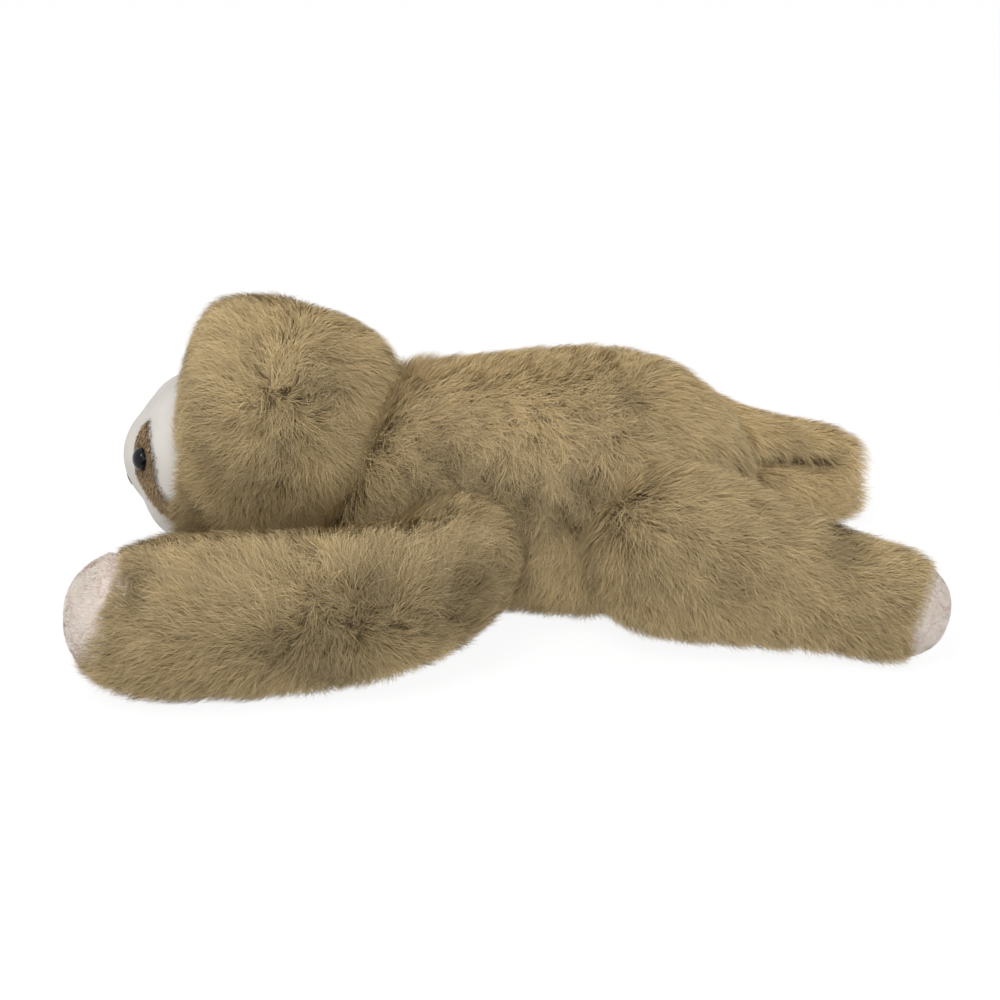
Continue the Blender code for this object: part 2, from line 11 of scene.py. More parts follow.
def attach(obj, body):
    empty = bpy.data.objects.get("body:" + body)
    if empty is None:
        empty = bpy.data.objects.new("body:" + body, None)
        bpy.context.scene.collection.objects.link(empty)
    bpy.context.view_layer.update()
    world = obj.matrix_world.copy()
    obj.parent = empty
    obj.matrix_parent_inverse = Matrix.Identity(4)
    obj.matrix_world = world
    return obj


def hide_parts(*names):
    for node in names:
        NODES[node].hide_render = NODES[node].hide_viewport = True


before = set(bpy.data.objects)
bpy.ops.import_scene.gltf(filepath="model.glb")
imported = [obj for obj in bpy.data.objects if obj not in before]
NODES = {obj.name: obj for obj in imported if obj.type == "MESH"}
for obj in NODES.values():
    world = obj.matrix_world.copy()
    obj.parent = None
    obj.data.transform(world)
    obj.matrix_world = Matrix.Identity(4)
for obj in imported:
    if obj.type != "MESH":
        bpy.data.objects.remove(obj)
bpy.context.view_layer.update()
MM = 0.001
SIDES = (("left", -1), ("right", 1))


def mm(*lengths):
    return tuple(length * MM for length in lengths)


def either(full):
    return full


# ---- colours

def srgb(r, g, b):
    """A colour given as it looks on a screen, in the linear values that shaders take."""
    return (*(c / 12.92 if c <= 0.04045 else ((c + 0.055) / 1.055) ** 2.4
              for c in (r / 255, g / 255, b / 255)), 1.0)


BLACK, WHITE = (0, 0, 0, 1), (1, 1, 1, 1)
ROOT_BROWN = srgb(128, 110, 82)
MID_TAN = srgb(174, 150, 106)
TIP_TAN = srgb(208, 186, 145)
OLIVE = srgb(164, 144, 88)
BACKING = srgb(120, 104, 80)
FACE_WHITE = srgb(206, 202, 196)
FACE_SHADE = srgb(200, 195, 188)
PATCH_DARK = srgb(122, 99, 72)
PATCH_LIGHT = srgb(176, 150, 116)
TIP_WHITE = srgb(238, 229, 219)
TIP_PINK = srgb(226, 208, 195)
EYE_BLACK = srgb(14, 15, 18)
NOSE_BROWN = srgb(70, 50, 40)
# The faint lines in the tips: their share, their noise, and its values where a line is drawn
VEIN_PINK, VEIN_SHARE, VEIN_NOISE = srgb(205, 152, 138), 0.38, (70.0, 3.0, 0.6)
VEIN_VALUES = (0.46, 0.5, 0.54)
# Where along a fibre its root's, middle's and tip's colours are, and how dark and light it gets
ALONG, TONE_RANGE = (0.1, 0.5, 0.9), (0.5, 1.4)
CLOTH_VALUES = (0.35, 0.65)


class Nodes:
    """A material's node tree, with short calls for what is used here."""

    def __init__(self, name):
        self.material = bpy.data.materials.new(name)
        self.material.use_nodes = True
        self.tree = self.material.node_tree
        self.shader = self.tree.nodes["Principled BSDF"]

    def add(self, kind, **settings):
        node = self.tree.nodes.new(kind)
        for key, value in settings.items():
            setattr(node, key, value)
        return node

    def link(self, a, b):
        self.tree.links.new(a, b)

    def give(self, socket, value):
        """Links a socket, or sets its value."""
        if isinstance(value, bpy.types.NodeSocket):
            self.link(value, socket)
        else:
            socket.default_value = value

    def ramp(self, source, places, colours):
        ramp = self.add("ShaderNodeValToRGB")
        elements = ramp.color_ramp.elements
        while len(elements) < len(places):
            elements.new(0.5)
        for element, place, colour in zip(elements, places, colours):
            element.position = place
            element.color = colour
        self.link(source, ramp.inputs["Fac"])
        return ramp.outputs["Color"]

    def noise(self, scale, detail=2.0, roughness=0.5):
        place = self.add("ShaderNodeTexCoord")
        noise = self.add("ShaderNodeTexNoise")
        for key, value in (("Scale", scale), ("Detail", detail), ("Roughness", roughness)):
            noise.inputs[key].default_value = value
        self.link(place.outputs["Object"], noise.inputs["Vector"])
        return noise.outputs["Fac"]

    def mix(self, factor, a, b, mode="MIX"):
        mix = self.add("ShaderNodeMix", data_type="RGBA", blend_type=mode)
        for socket, value in zip((mix.inputs[0], mix.inputs[6], mix.inputs[7]), (factor, a, b)):
            self.give(socket, value)
        return mix.outputs[2]

    def times(self, source, factor):
        product = self.add("ShaderNodeMath", operation="MULTIPLY")
        self.link(source, product.inputs[0])
        product.inputs[1].default_value = factor
        return product.outputs[0]

    def veins(self, under):
        """Faint pink lines, as where the short pile of the tips parts."""
        lines = self.ramp(self.noise(*VEIN_NOISE), VEIN_VALUES, (BLACK, WHITE, BLACK))
        share = self.mix(1.0, lines, (VEIN_SHARE,) * 3 + (1,), "MULTIPLY")
        return self.mix(share, under, VEIN_PINK)

    def colour(self, value):
        self.give(self.shader.inputs["Base Color"], value)

    def set(self, **values):
        for key, value in values.items():
            self.shader.inputs[key.replace("_", " ")].default_value = value


def pile_material(name, root, middle, tip, odd, odd_share=0.35, veined=False):
    """Fibres that run from a dark root to a light tip, no two of quite the same tone."""
    m = Nodes(name)
    pile = m.add("ShaderNodeAttribute", attribute_name="pile")
    parts = m.add("ShaderNodeSeparateColor")
    m.link(pile.outputs["Color"], parts.inputs["Color"])
    along = m.ramp(parts.outputs["Green"], ALONG, (root, middle, tip))
    tinted = m.mix(m.times(parts.outputs["Blue"], odd_share), along, odd)
    if veined:
        tinted = m.veins(tinted)
    tone = m.add("ShaderNodeMapRange")
    m.link(parts.outputs["Red"], tone.inputs["Value"])
    for key, value in zip(("To Min", "To Max"), TONE_RANGE):
        tone.inputs[key].default_value = value
    grey = m.add("ShaderNodeCombineColor")
    for channel in ("Red", "Green", "Blue"):
        m.link(tone.outputs["Result"], grey.inputs[channel])
    m.colour(m.mix(1.0, tinted, grey.outputs["Color"], "MULTIPLY"))
    m.set(Roughness=0.75, Specular_IOR_Level=0.18)
    return m.material


def cloth_material(name, light, dark, scale):
    m = Nodes(name)
    m.colour(m.ramp(m.noise(scale), CLOTH_VALUES, (dark, light)))
    m.set(Roughness=0.9, Specular_IOR_Level=0.2)
    return m.material


def plain_material(name, colour, roughness, **more):
    m = Nodes(name)
    m.colour(colour)
    m.set(Roughness=roughness, **more)
    return m.material


FUR = pile_material("fur_pile", ROOT_BROWN, MID_TAN, TIP_TAN, OLIVE)
FACE_PILE = pile_material("face_pile", FACE_WHITE, FACE_WHITE, FACE_WHITE, FACE_SHADE, 0.1)
PATCH_PILE = pile_material("patch_pile", PATCH_DARK, PATCH_LIGHT, PATCH_LIGHT, PATCH_DARK, 0.3)
TIP_PILE = pile_material("tip_pile", TIP_PINK, TIP_WHITE, TIP_WHITE, TIP_PINK, 0.2, veined=True)
FUR_BACKING = cloth_material("fur_backing", BACKING, ROOT_BROWN, 220.0)
FACE_CLOTH = cloth_material("face_cloth", FACE_WHITE, FACE_SHADE, 90.0)
PATCH_CLOTH = cloth_material("patch_cloth", PATCH_LIGHT, PATCH_DARK, 300.0)
TIP_CLOTH = cloth_material("tip_cloth", TIP_WHITE, TIP_PINK, 60.0)
EYE_GLOSS = plain_material("eye_gloss", EYE_BLACK, 0.06, Specular_IOR_Level=0.2)
NOSE_THREAD = plain_material("nose_thread", NOSE_BROWN, 0.45)
WASHER_WHITE = plain_material("washer_plastic", srgb(226, 226, 222), 0.4)

# ---- forms

ROUND = (2.0, 2.0)


def unit(v):
    return v / np.maximum(np.linalg.norm(v, axis=-1, keepdims=True), 1e-12)


class Form:
    """A closed skin as numpy arrays: points, triangles and outward normals."""

    def __init__(self, points, quads, tris):
        self.points, self.quads, self.tris = points, quads, tris
        self.triangles = np.concatenate([quads[:, [0, 1, 2]], quads[:, [0, 2, 3]], tris])
        self.renew()

    def renew(self):
        a, b, c = (self.points[self.triangles[:, k]] for k in range(3))
        cross = np.cross(b - a, c - a)
        volume = float(np.einsum("ij,ij->i", a, cross).sum())
        self.outward = 1.0 if volume > 0 else -1.0
        cross = cross * self.outward
        self.areas = np.linalg.norm(cross, axis=1) / 2
        normals = np.zeros_like(self.points)
        for k in range(3):
            np.add.at(normals, self.triangles[:, k], cross)
        self.normals = unit(normals)

    def facing_out(self, faces):
        """Faces with their corners in the order that faces outwards."""
        return faces[:, ::-1] if self.outward < 0 else faces

    def moved(self, distance):
        return Form(self.points + self.normals * distance, self.quads, self.tris)

    def soften(self, depth, seed, scale):
        """Makes the skin uneven, as a stuffed one is."""
        self.points += self.normals * (depth * wobble(self.points, seed, scale)[:, :1])

    def rest_on_floor(self):
        self.points[:, 2] = np.maximum(self.points[:, 2], SKIN_FLOOR)
        self.renew()

    def sample(self, count, rng):
        """Points spread evenly over the skin, with their normals."""
        share = self.areas / self.areas.sum()
        chosen = rng.choice(len(share), size=count, p=share)
        r, s = np.sqrt(rng.random(count)), rng.random(count)
        weights = np.stack([1 - r, r * (1 - s), r * s], axis=1)
        corners = self.triangles[chosen]
        place = np.einsum("ij,ijk->ik", weights, self.points[corners])
        return place, unit(np.einsum("ij,ijk->ik", weights, self.normals[corners]))


def loft(first, rings, last):
    """A skin from a pole through rings of points to a pole."""
    sides, count = rings.shape[1], rings.shape[0]
    points = np.concatenate([[first], rings.reshape(-1, 3), [last]])
    k = np.arange(sides)
    n = (k + 1) % sides
    strip = np.stack([k, k + sides, n + sides, n], axis=1)
    quads = (strip + (1 + sides * np.arange(count - 1))[:, None, None]).reshape(-1, 4)
    end = 1 + (count - 1) * sides
    tris = np.concatenate([np.stack([np.zeros_like(k), 1 + k, 1 + n], axis=1),
                           np.stack([np.full_like(k, len(points) - 1), end + n, end + k], axis=1)])
    return Form(points, quads, tris)


def oval(sides, powers):
    """A ring's points across and up, with a power for each half."""
    angle = 2 * np.pi * (np.arange(sides) + 0.5) / sides
    c, s = np.cos(angle), np.sin(angle)
    power = np.where(s > 0, powers[0], powers[1])
    return np.sign(c) * np.abs(c) ** (2 / power), np.sign(s) * np.abs(s) ** (2 / power)


def quarter(steps):
    """Angles between a pole and the widest ring."""
    return np.pi / 2 * (np.arange(steps) + 1) / (steps + 1)


def egg(centre, lengths, half_width, half_height, powers, inset, outline=ROUND, lean=0.0,
        sides=96, steps=28):
    """A stuffed form along X, with its own length and power before and behind its centre."""
    across, up = oval(sides, outline)
    angles = quarter(steps)
    front, back = lengths[0] - inset, lengths[1] - inset
    along = np.concatenate([-front * np.cos(angles) ** (2 / powers[0]), [0.0],
                            (back * np.cos(angles) ** (2 / powers[1]))[::-1]])
    share = np.concatenate([np.sin(angles), [1.0], np.sin(angles)[::-1]])
    rings = np.zeros((len(along), sides, 3))
    rings[:, :, 0] = centre[0] + along[:, None]
    rings[:, :, 1] = centre[1] + across * (half_width - inset) * share[:, None]
    rise = up * (half_height - inset) * share[:, None]
    rings[:, :, 2] = centre[2] + rise
    rings[:, :, 0] += rise * (lean * np.maximum(0, -along / front))[:, None]
    centre = np.array(centre)
    return loft(centre - (front, 0, 0), rings, centre + (back, 0, 0))


def bezier(points, t):
    a, b, c, d = (np.array(p) for p in points)
    u = 1 - t
    place = a * u ** 3 + b * (3 * u * u * t) + c * (3 * u * t * t) + d * t ** 3
    return place, unit((b - a) * (u * u) + (c - b) * (2 * u * t) + (d - c) * (t * t))


def sausage(spine, root_radius, tip_radius, dome, inset, outline=(2.0, 2.2), sides=72, steps=18,
            shaft=36):
    """A stuffed limb along a spine, with a ball at its root and a dome at its tip."""
    across_shape, up_shape = oval(sides, outline)
    sizes = root_radius - inset, tip_radius - inset
    rings = []

    def ring(centre, heading, size):
        across = unit(np.cross(heading, (0, 0, 1.0)))
        up = np.cross(across, heading)
        rings.append(centre + np.outer(across_shape, across) * size + np.outer(up_shape, up) * size)

    angles = quarter(steps)
    start, heading = bezier(spine, 0.0)
    first = start - heading * sizes[0]
    for a in angles:
        ring(start - heading * sizes[0] * np.cos(a), heading, sizes[0] * np.sin(a))
    for t in np.linspace(0, 1, shaft):
        place, heading = bezier(spine, t)
        ring(place, heading, sizes[0] + (sizes[1] - sizes[0]) * (3 - 2 * t) * t * t)
    end, heading = bezier(spine, 1.0)
    for a in angles[::-1]:
        ring(end + heading * (dome - inset) * np.cos(a), heading, sizes[1] * np.sin(a))
    return loft(first, np.array(rings), end + heading * (dome - inset))


# Sizes of the sewn forms, as in the part's source
BODY = dict(centre=mm(29, 0, 54.1), lengths=mm(130, 74), half_width=62 * MM,
            half_height=55 * MM, powers=ROUND, outline=(2.1, 3.2))
HEAD = dict(centre=mm(-112, 0, 78), lengths=mm(34, 66), half_width=55 * MM,
            half_height=53.5 * MM, powers=(3.2, 2.2), lean=0.12)
NECK = np.array(mm(-3, 0, 40))
NECK_RADIUS = 68 * MM
FACE_X, FACE_Z = mm(-137.5, 62)
FACE_LENGTH, FACE_HALF_WIDTH, FACE_HALF_HEIGHT, FACE_POWER = 25 * MM, 40 * MM, 36.5 * MM, 2.2
MUZZLE_X, MUZZLE_Z = mm(-139.5, 62)
MUZZLE_LENGTH, MUZZLE_HALF_WIDTH, MUZZLE_HALF_HEIGHT = mm(29.5, 17, 27)
# Each limb's radius at its root and at its tip, and its tip's length
LIMB_SIZES = {"arm": mm(27, 33, 48), "leg": mm(37, 25.5, 36)}
ROOT_MARGIN = 4 * MM
SHOULDER = mm(-22, 48.5, 39)
HIP = mm(64, 53, 41)
HIP_ROOT_SIDE = 50 * MM
SHOULDER_INSIDE, SHOULDER_REACH = mm(10, 46)
ELBOW_X, ELBOW_SIDE, PAW_SIDE = mm(-56, 102, 106)
LEG_LENGTH = {"left": 83.2 * MM, "right": 76 * MM}
LEG_SPLAY = {"left": math.radians(12), "right": math.radians(22)}
PAW_X, PAW_Z, FOOT_Z = mm(-132.5, 32.1, 24.7)
PAW_SEAM_X, PAW_SEAM_Z = mm(-165, 36)
FOOT_SEAM_BACK, FOOT_SEAM_DROP = mm(22, 3)
PAW_TILT, FOOT_TILT = math.radians(21), math.radians(13)
# How far the skins lie inside the covers' outlines, and how low they and the fibres reach
SKIN_INSET = 7.4 * MM
TIP_SKIN_INSET = 4.2 * MM
SKIN_FLOOR, FIBRE_FLOOR = mm(0.6, 0.3)


def arm_spine(side):
    x, y, z = SHOULDER
    return [(x, side * (y - SHOULDER_INSIDE), z), (x, side * (y + SHOULDER_REACH), z),
            (ELBOW_X, side * ELBOW_SIDE, PAW_Z), (PAW_X, side * PAW_SIDE, PAW_Z)]


def leg_spine(hand, side):
    length, splay = LEG_LENGTH[hand], LEG_SPLAY[hand]
    hip = np.array((HIP[0], side * HIP[1], HIP[2]))
    foot = np.array((HIP[0] + length * math.cos(splay), side * (HIP[1] + length * math.sin(splay)),
                     FOOT_Z))
    return [hip, hip + (foot - hip) / 3, hip + (foot - hip) * 2 / 3, foot]


def wobble(points, seed, scale, waves=6, spread=(0.6, 1.7), phases=6.28):
    """A smooth random vector for each point, that varies over about scale."""
    rng = np.random.default_rng(seed)
    out = np.zeros_like(points)
    for _ in range(waves):
        wave = unit(rng.normal(size=3)) * 2 * np.pi / scale * rng.uniform(*spread)
        out += np.outer(np.sin(points @ wave + rng.uniform(0, phases)), unit(rng.normal(size=3)))
    return out / math.sqrt(waves / 2)


# ---- meshes

def mesh_object(name, points, faces_by_size, material):
    """An object from numpy arrays: faces_by_size lists arrays of faces of 3 or 4 corners."""
    mesh = bpy.data.meshes.new(name)
    mesh.vertices.add(len(points))
    mesh.vertices.foreach_set("co", np.ascontiguousarray(points, dtype=np.float32).ravel())
    totals = np.concatenate([np.full(len(f), f.shape[1]) for f in faces_by_size])
    corners = np.concatenate([f.ravel() for f in faces_by_size])
    mesh.loops.add(len(corners))
    mesh.loops.foreach_set("vertex_index", corners.astype(np.int32))
    mesh.polygons.add(len(totals))
    starts = np.concatenate([[0], np.cumsum(totals)[:-1]])
    mesh.polygons.foreach_set("loop_start", starts.astype(np.int32))
    mesh.polygons.foreach_set("loop_total", totals.astype(np.int32))
    mesh.polygons.foreach_set("use_smooth", np.full(len(totals), True))
    mesh.update(calc_edges=True)
    return placed(name, mesh, material)


def placed(name, mesh, material):
    mesh.materials.append(material)
    piece = bpy.data.objects.new(name, mesh)
    bpy.context.scene.collection.objects.link(piece)
    return piece


def dress(piece, body, slot, *replaced):
    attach(piece, body)
    if replaced:
        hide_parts(*replaced)


def shell(name, form, material, body, slot, *replaced):
    faces = [form.facing_out(form.quads), form.facing_out(form.tris)]
    piece = mesh_object(name, form.points, faces, material)
    dress(piece, body, slot, *replaced)
    return piece


STRANDS_PER_PIECE = 39000
FIBRE_WIDTH = 0.19 * MM
# One fibre: its spine's points along it, its width at the first 3, how far it may run along the
# skin, how far it curls aside, and the bends of its rise, run and pull
SPINE_SHARES = np.array((0.0, 0.36, 0.72, 1.0))
SPINE_WIDTHS = (1.0, 0.95, 0.62)
FIBRE_POINTS = 7
LONGEST_RUN = 13 * MM
CURL = 0.28
RISE_BEND, RUN_BEND, PULL_BEND = 1.7, 1.45, 1.6
# How much fibres differ
RISE_SPREAD, RUN_SPREAD, WIDTH_SPREAD = (0.66, 1.1), (0.85, 1.15), (0.7, 1.25)
LEAN_SPREAD, LEAN_LEAST, LEAN_MOST, ROLL_SPREAD = 0.2, 0.05, 1.1, 1.0
FIBRE_TONE, TUFT_TONE, BAND_TONE, MIDDLE_TONE = 0.1, 0.035, 0.03, 0.5
ODD_MEAN, ODD_SPREAD = 0.35, 0.3
# How hard one tuft and its fibres pull. A band is a group of tufts.
TUFT_PULL, FIBRE_PULL = (0.3, 1.5), (0.6, 1.0)
BAND_TUFTS, BAND_PULL, BAND_PULL_MOST = 6, 0.3, 0.15
# By the edge of the fur: the height left, over what distance it falls, how ragged the edge is,
# and the least share of a run that counts as towards it
EDGE_HEIGHT, EDGE_REACH, EDGE_RAGGED, EDGE_LEAST = 0.7, 9 * MM, 1.2 * MM, 0.05
# The normals that the light sees are mostly the skin's
SKIN_SHARE, FIBRE_SHARE = 0.8, 0.2


def tufts(roots, size, rng):
    """For each fibre, the fibre that its tuft gathers towards, and the tuft's number."""
    count = len(roots)
    centres = rng.choice(count, max(1, int(count // size)), replace=False)
    tree = kdtree.KDTree(len(centres))
    for i, c in enumerate(centres):
        tree.insert(roots[c], i)
    tree.balance()
    nearest = np.array([tree.find(p)[1] for p in roots])
    return centres[nearest], nearest


def pile(name, roots, normals, flow, rng, material, body, slot, height, tuft_size, pull, stray,
         spread, lean=0.9, width=FIBRE_WIDTH, tone=0.0, stop=None):
    """Fibres as narrow tapered ribbons that lean along the flow and gather in tufts.

    height is how far the tips stand off the skin, and lean is their angle from upright. stop
    gives the room that each root has before the edge of the fur, and the direction towards it.
    """
    count = len(roots)
    along = unit(flow - normals * np.einsum("ij,ij->i", flow, normals)[:, None])
    cross = np.cross(normals, along)
    along = unit(along + cross * (rng.normal(0, 1, count) * stray)[:, None])
    lean = np.clip(lean + rng.normal(0, LEAN_SPREAD, count), LEAN_LEAST, LEAN_MOST)
    rise = height * rng.uniform(*RISE_SPREAD, count)
    run = np.minimum(rise * np.tan(lean) * rng.uniform(*RUN_SPREAD, count), LONGEST_RUN)
    if stop is not None:
        room_at, out = stop
        before = room_at(roots)
        toward = along @ out
        rise = rise * np.clip(EDGE_HEIGHT + (1 - EDGE_HEIGHT) * before / EDGE_REACH, EDGE_HEIGHT, 1)
        room = before + rng.uniform(0.0, EDGE_RAGGED, count)
        run = np.where(toward * run > room, room / np.maximum(toward, EDGE_LEAST), run)
    tips = roots + normals * rise[:, None] + along * run[:, None]

    chief, number = tufts(roots, tuft_size, rng)
    band_chief, band = tufts(roots, tuft_size * BAND_TUFTS, rng)
    tuft_pull = rng.uniform(*TUFT_PULL, number.max() + 1)[number]
    near = (pull * tuft_pull * rng.uniform(*FIBRE_PULL, count))[:, None]
    shift = (tips[chief] - tips) * near
    band_pull = np.clip(pull * BAND_PULL, 0, BAND_PULL_MOST) * np.ones(count)
    shift += (tips[band_chief] - tips) * band_pull[:, None]
    tuft_tone = rng.normal(0, 1, number.max() + 1)[number]
    band_tone = rng.normal(0, 1, band.max() + 1)[band]

    curl = np.cross(normals, along) * (rng.normal(0, CURL, count) * run)[:, None]
    spine = []
    for s in SPINE_SHARES:
        p = (roots + normals * (rise * (1 - (1 - s) ** RISE_BEND))[:, None]
             + along * (run * s ** RUN_BEND)[:, None] + curl * s * s)
        spine.append(p + shift * s ** PULL_BEND)
    spine = np.stack(spine, axis=1)
    spine[:, :, 2] = np.maximum(spine[:, :, 2], FIBRE_FLOOR)

    heading = unit(spine[:, 3] - spine[:, 0])
    side = unit(np.cross(heading, normals))
    face = np.cross(side, heading)
    roll = rng.uniform(-ROLL_SPREAD, ROLL_SPREAD, count)[:, None]
    side = side * np.cos(roll) + face * np.sin(roll)
    half = width * rng.uniform(*WIDTH_SPREAD, count)[:, None] / 2
    points = np.zeros((count, FIBRE_POINTS, 3))
    for k, w in enumerate(SPINE_WIDTHS):
        points[:, 2 * k] = spine[:, k] - side * half * w
        points[:, 2 * k + 1] = spine[:, k] + side * half * w
    points[:, 6] = spine[:, 3]

    tones = rng.normal(0, FIBRE_TONE, count) + TUFT_TONE * tuft_tone + BAND_TONE * band_tone
    tones = MIDDLE_TONE + tones * spread + tone
    odd = np.clip(rng.normal(ODD_MEAN, ODD_SPREAD, count), 0, 1)
    colours = np.ones((count, FIBRE_POINTS, 4))
    colours[:, :, 0] = np.clip(tones, 0, 1)[:, None]
    colours[:, :, 1] = np.repeat(SPINE_SHARES, (2, 2, 2, 1))
    colours[:, :, 2] = odd[:, None]

    soft = unit(normals * SKIN_SHARE + face * FIBRE_SHARE)
    for start in range(0, count, STRANDS_PER_PIECE):
        part = slice(start, min(start + STRANDS_PER_PIECE, count))
        n = part.stop - part.start
        base = np.arange(n)[:, None] * FIBRE_POINTS
        quads = np.concatenate([base + (0, 1, 3, 2), base + (2, 3, 5, 4)])
        label = f"{name}_{start // STRANDS_PER_PIECE + 1}"
        piece = mesh_object(label, points[part].reshape(-1, 3), [quads, base + (4, 5, 6)],
                            material)
        attribute = piece.data.attributes.new("pile", "FLOAT_COLOR", "POINT")
        attribute.data.foreach_set("color", colours[part].astype(np.float32).ravel())
        atlas(piece.data, n)
        piece.data.normals_split_custom_set_from_vertices(
            np.repeat(soft[part], FIBRE_POINTS, axis=0))
        dress(piece, body, slot)


# What a fibre takes of its cell in the texture square
CELL_ACROSS, CELL_UP = (0.15, 0.85), (0.1, 0.9)


def atlas(mesh, count):
    """A cell of the texture square for each fibre, with its root below and its tip above."""
    columns = int(math.ceil(math.sqrt(count)))
    cell = np.arange(count)
    left, low = (cell % columns) / columns, (cell // columns) / columns
    size = 1 / columns
    low_y, high_y = (low + share * size for share in CELL_UP)
    a, b = (left + share * size for share in CELL_ACROSS)
    steps = [low_y + (high_y - low_y) * share for share in SPINE_SHARES]
    values = [np.stack([a, steps[k], b, steps[k], b, steps[k + 1], a, steps[k + 1]], axis=1).ravel()
              for k in range(2)]
    values.append(np.stack([a, steps[2], b, steps[2], (a + b) / 2, steps[3]], axis=1).ravel())
    layer = mesh.uv_layers.new(name="OFBake")
    layer.data.foreach_set("uv", np.concatenate(values).astype(np.float32))


# ---- where the pile grows

# Fibres a square metre, in the long pile and on the limbs' faces against the body
DENSITY, ROOT_DENSITY = either(4.8e6), 2.0e6
PILE_HEIGHT = 7.6 * MM
# What faces further down than this loses a share of its fibres
UNDERSIDE, UNDERSIDE_LOSS = -0.75, 0.5


def scatter(form, rng, count, keep):
    """Roots spread evenly over a skin, only where keep says."""
    roots, normals = form.sample(count, rng)
    kept = keep(roots, normals)
    return roots[kept], normals[kept]


def sprinkle(form, rng, keep, density=DENSITY):
    """Roots at a density, with fewer on the underside."""
    def thinned(p, n):
        return keep(p, n) & ~((n[:, 2] < UNDERSIDE) & (rng.random(len(p)) < UNDERSIDE_LOSS))

    return scatter(form, rng, int(form.areas.sum() * density), thinned)


# How each form is brushed, seen from its side: place along X and height in mm, and the way that
# the pile lies there in degrees above +X
BRUSH = {"body": (
    (-37, 97, -35), (-6, 105, -55), (-17, 91, -45), (-37, 85, -12), (9, 110, -75), (19, 103, -60),
    (38, 96, -70), (24, 91, -60), (40, 112, 90), (61, 105, -30), (75, 90, -40), (90, 76, -55),
    (60, 78, -25), (18, 81, -65), (-14, 62, -50), (12, 59, -90), (24, 68, -80), (-5, 71, -60),
    (14, 42, -115), (3, 31, -130), (29, 20, -105), (60, 28, -60), (-40, 35, -60), (-60, 48, -30),
), "head": (
    (-129, 123, 150), (-128, 117, 145), (-113, 120, 130), (-98, 127, 110), (-119, 106, 160),
    (-133, 95, 180), (-119, 90, 178), (-88, 103, 60), (-81, 112, -20), (-95, 96, -110),
    (-75, 90, -35), (-66, 100, -30), (-71, 119, -35), (-62, 83, -35), (-75, 76, -50),
    (-66, 60, -50), (-106, 74, -125), (-125, 75, 190), (-133, 61, 200), (-115, 57, 235),
    (-97, 55, -85), (-84, 55, -60), (-130, 40, 205), (-100, 36, -100),
), "arm": (
    (-150, 60, 120), (-131, 60, 105), (-94, 60, 95), (-63, 58, 85), (-142, 54, 150),
    (-150, 40, 185), (-120, 48, 150), (-105, 41, 158), (-90, 36, 170), (-74, 28, -100),
    (-56, 46, 70), (-26, 37, 20), (-26, 50, 50), (-8, 34, 10), (-9, 25, -20), (-32, 23, -45),
    (-56, 23, -75), (-118, 28, 188), (-141, 20, 205), (-105, 15, 225), (-86, 17, 250),
), "leg": (
    (34, 64, -50), (30, 48, -90), (38, 46, -78), (48, 43, -68), (64, 38, -58), (40, 64, -38),
    (44, 74, -20), (54, 64, -30), (64, 77, -22), (79, 64, -20), (79, 46, -30), (95, 37, -32),
    (95, 56, -18), (127, 47, -20), (143, 22, -25), (116, 11, -45), (60, 20, -80), (90, 18, -50),
    (150, 36, -15),
)}
STROKE_REACH, STROKE_FALL = 8 * MM, -1.6
# Where the pile is tousled, and its tone darkened as painted shade, as in the hollow between arm
# and body: place along X and height in mm, radius in mm, and how much
TOUSLED_AND_SHADED = {
    "body": ((42, 92, 11, 0.9), (26, 92, 8, 0.5), (-29, 75, 9, 0.9), (-12, 70, 10, 1.2),
             (4, 64, 10, 1.5), (20, 59, 10, 1.4), (27, 71, 9, 1.2), (2, 47, 8, 1.2),
             (-40, 63, 10, 0.5)),
    "head": ((-84, 102, 10, 0.6), (-121, 97, 7, 0.6), (-120, 84, 6, 0.4), (-104, 70, 10, 0.5),
             (-113, 54, 11, 0.3), (-96, 90, 9, 0.5)),
    "arm": ((-142, 50, 7, 1.2), (-74, 25, 13, 1.1), (-88, 31, 8, 0.7), (-56, 43, 9, 1.0),
            (-27, 38, 11, 1.2), (-32, 48, 8, 0.4)),
    "leg": ((30, 66, 6, 0.7), (79, 46, 9, 0.5), (127, 47, 9, 0.5), (64, 38, 8, 0.3))}
# Where the pile is longer or shorter: place along X and height, its reach each way, all in mm,
# and how much. These are the folds round the head, the back's top and the rump's end, and on the
# head its back and the hood's lower rim.
BODY_LONGER = ((-46, 88, 14, 16, 0.4), (-64, 43, 9, 14, 0.9), (55, 108, 26, 14, 0.4),
               (94, 86, 12, 14, -0.3))
HEAD_LONGER = ((-60, 114, 22, 18, 0.5), (-138, 52, 9, 22, 0.35))

# How much of the strokes' way the long pile keeps, and how far they agree where it lies flat
FLOW_SHARE, AGREEMENT = 1.1, 1.25
# The noise in its way: the amount, what a full mess adds to it, its size, and its seed
FLOW_NOISE = ((0.16, 0.4, 22 * MM, 40), (0.22, 0.6, 9 * MM, 45), (0.1, 0.5, 5 * MM, 48))
# What makes a mess elsewhere: chance patches, and strokes that cross
PATCH_MESS, PATCH_WAVE, CROSSED_MESS = 0.1, 26 * MM, 0.55
# Its lean in radians, the share left where strokes cross, what a mess takes off, what the turn to
# the top adds, and how level the very top is
LEAN, CROSSED_LEAN, MESS_LIFT, TURN_LEAN, TOP_START = 0.9, 0.55, 0.15, 0.12, 0.93
HEIGHT_NOISE, HEIGHT_WAVE, MESS_SINK = 0.08, 14 * MM, 0.08
TONE_NOISE, TONE_WAVE = 0.06, 20 * MM
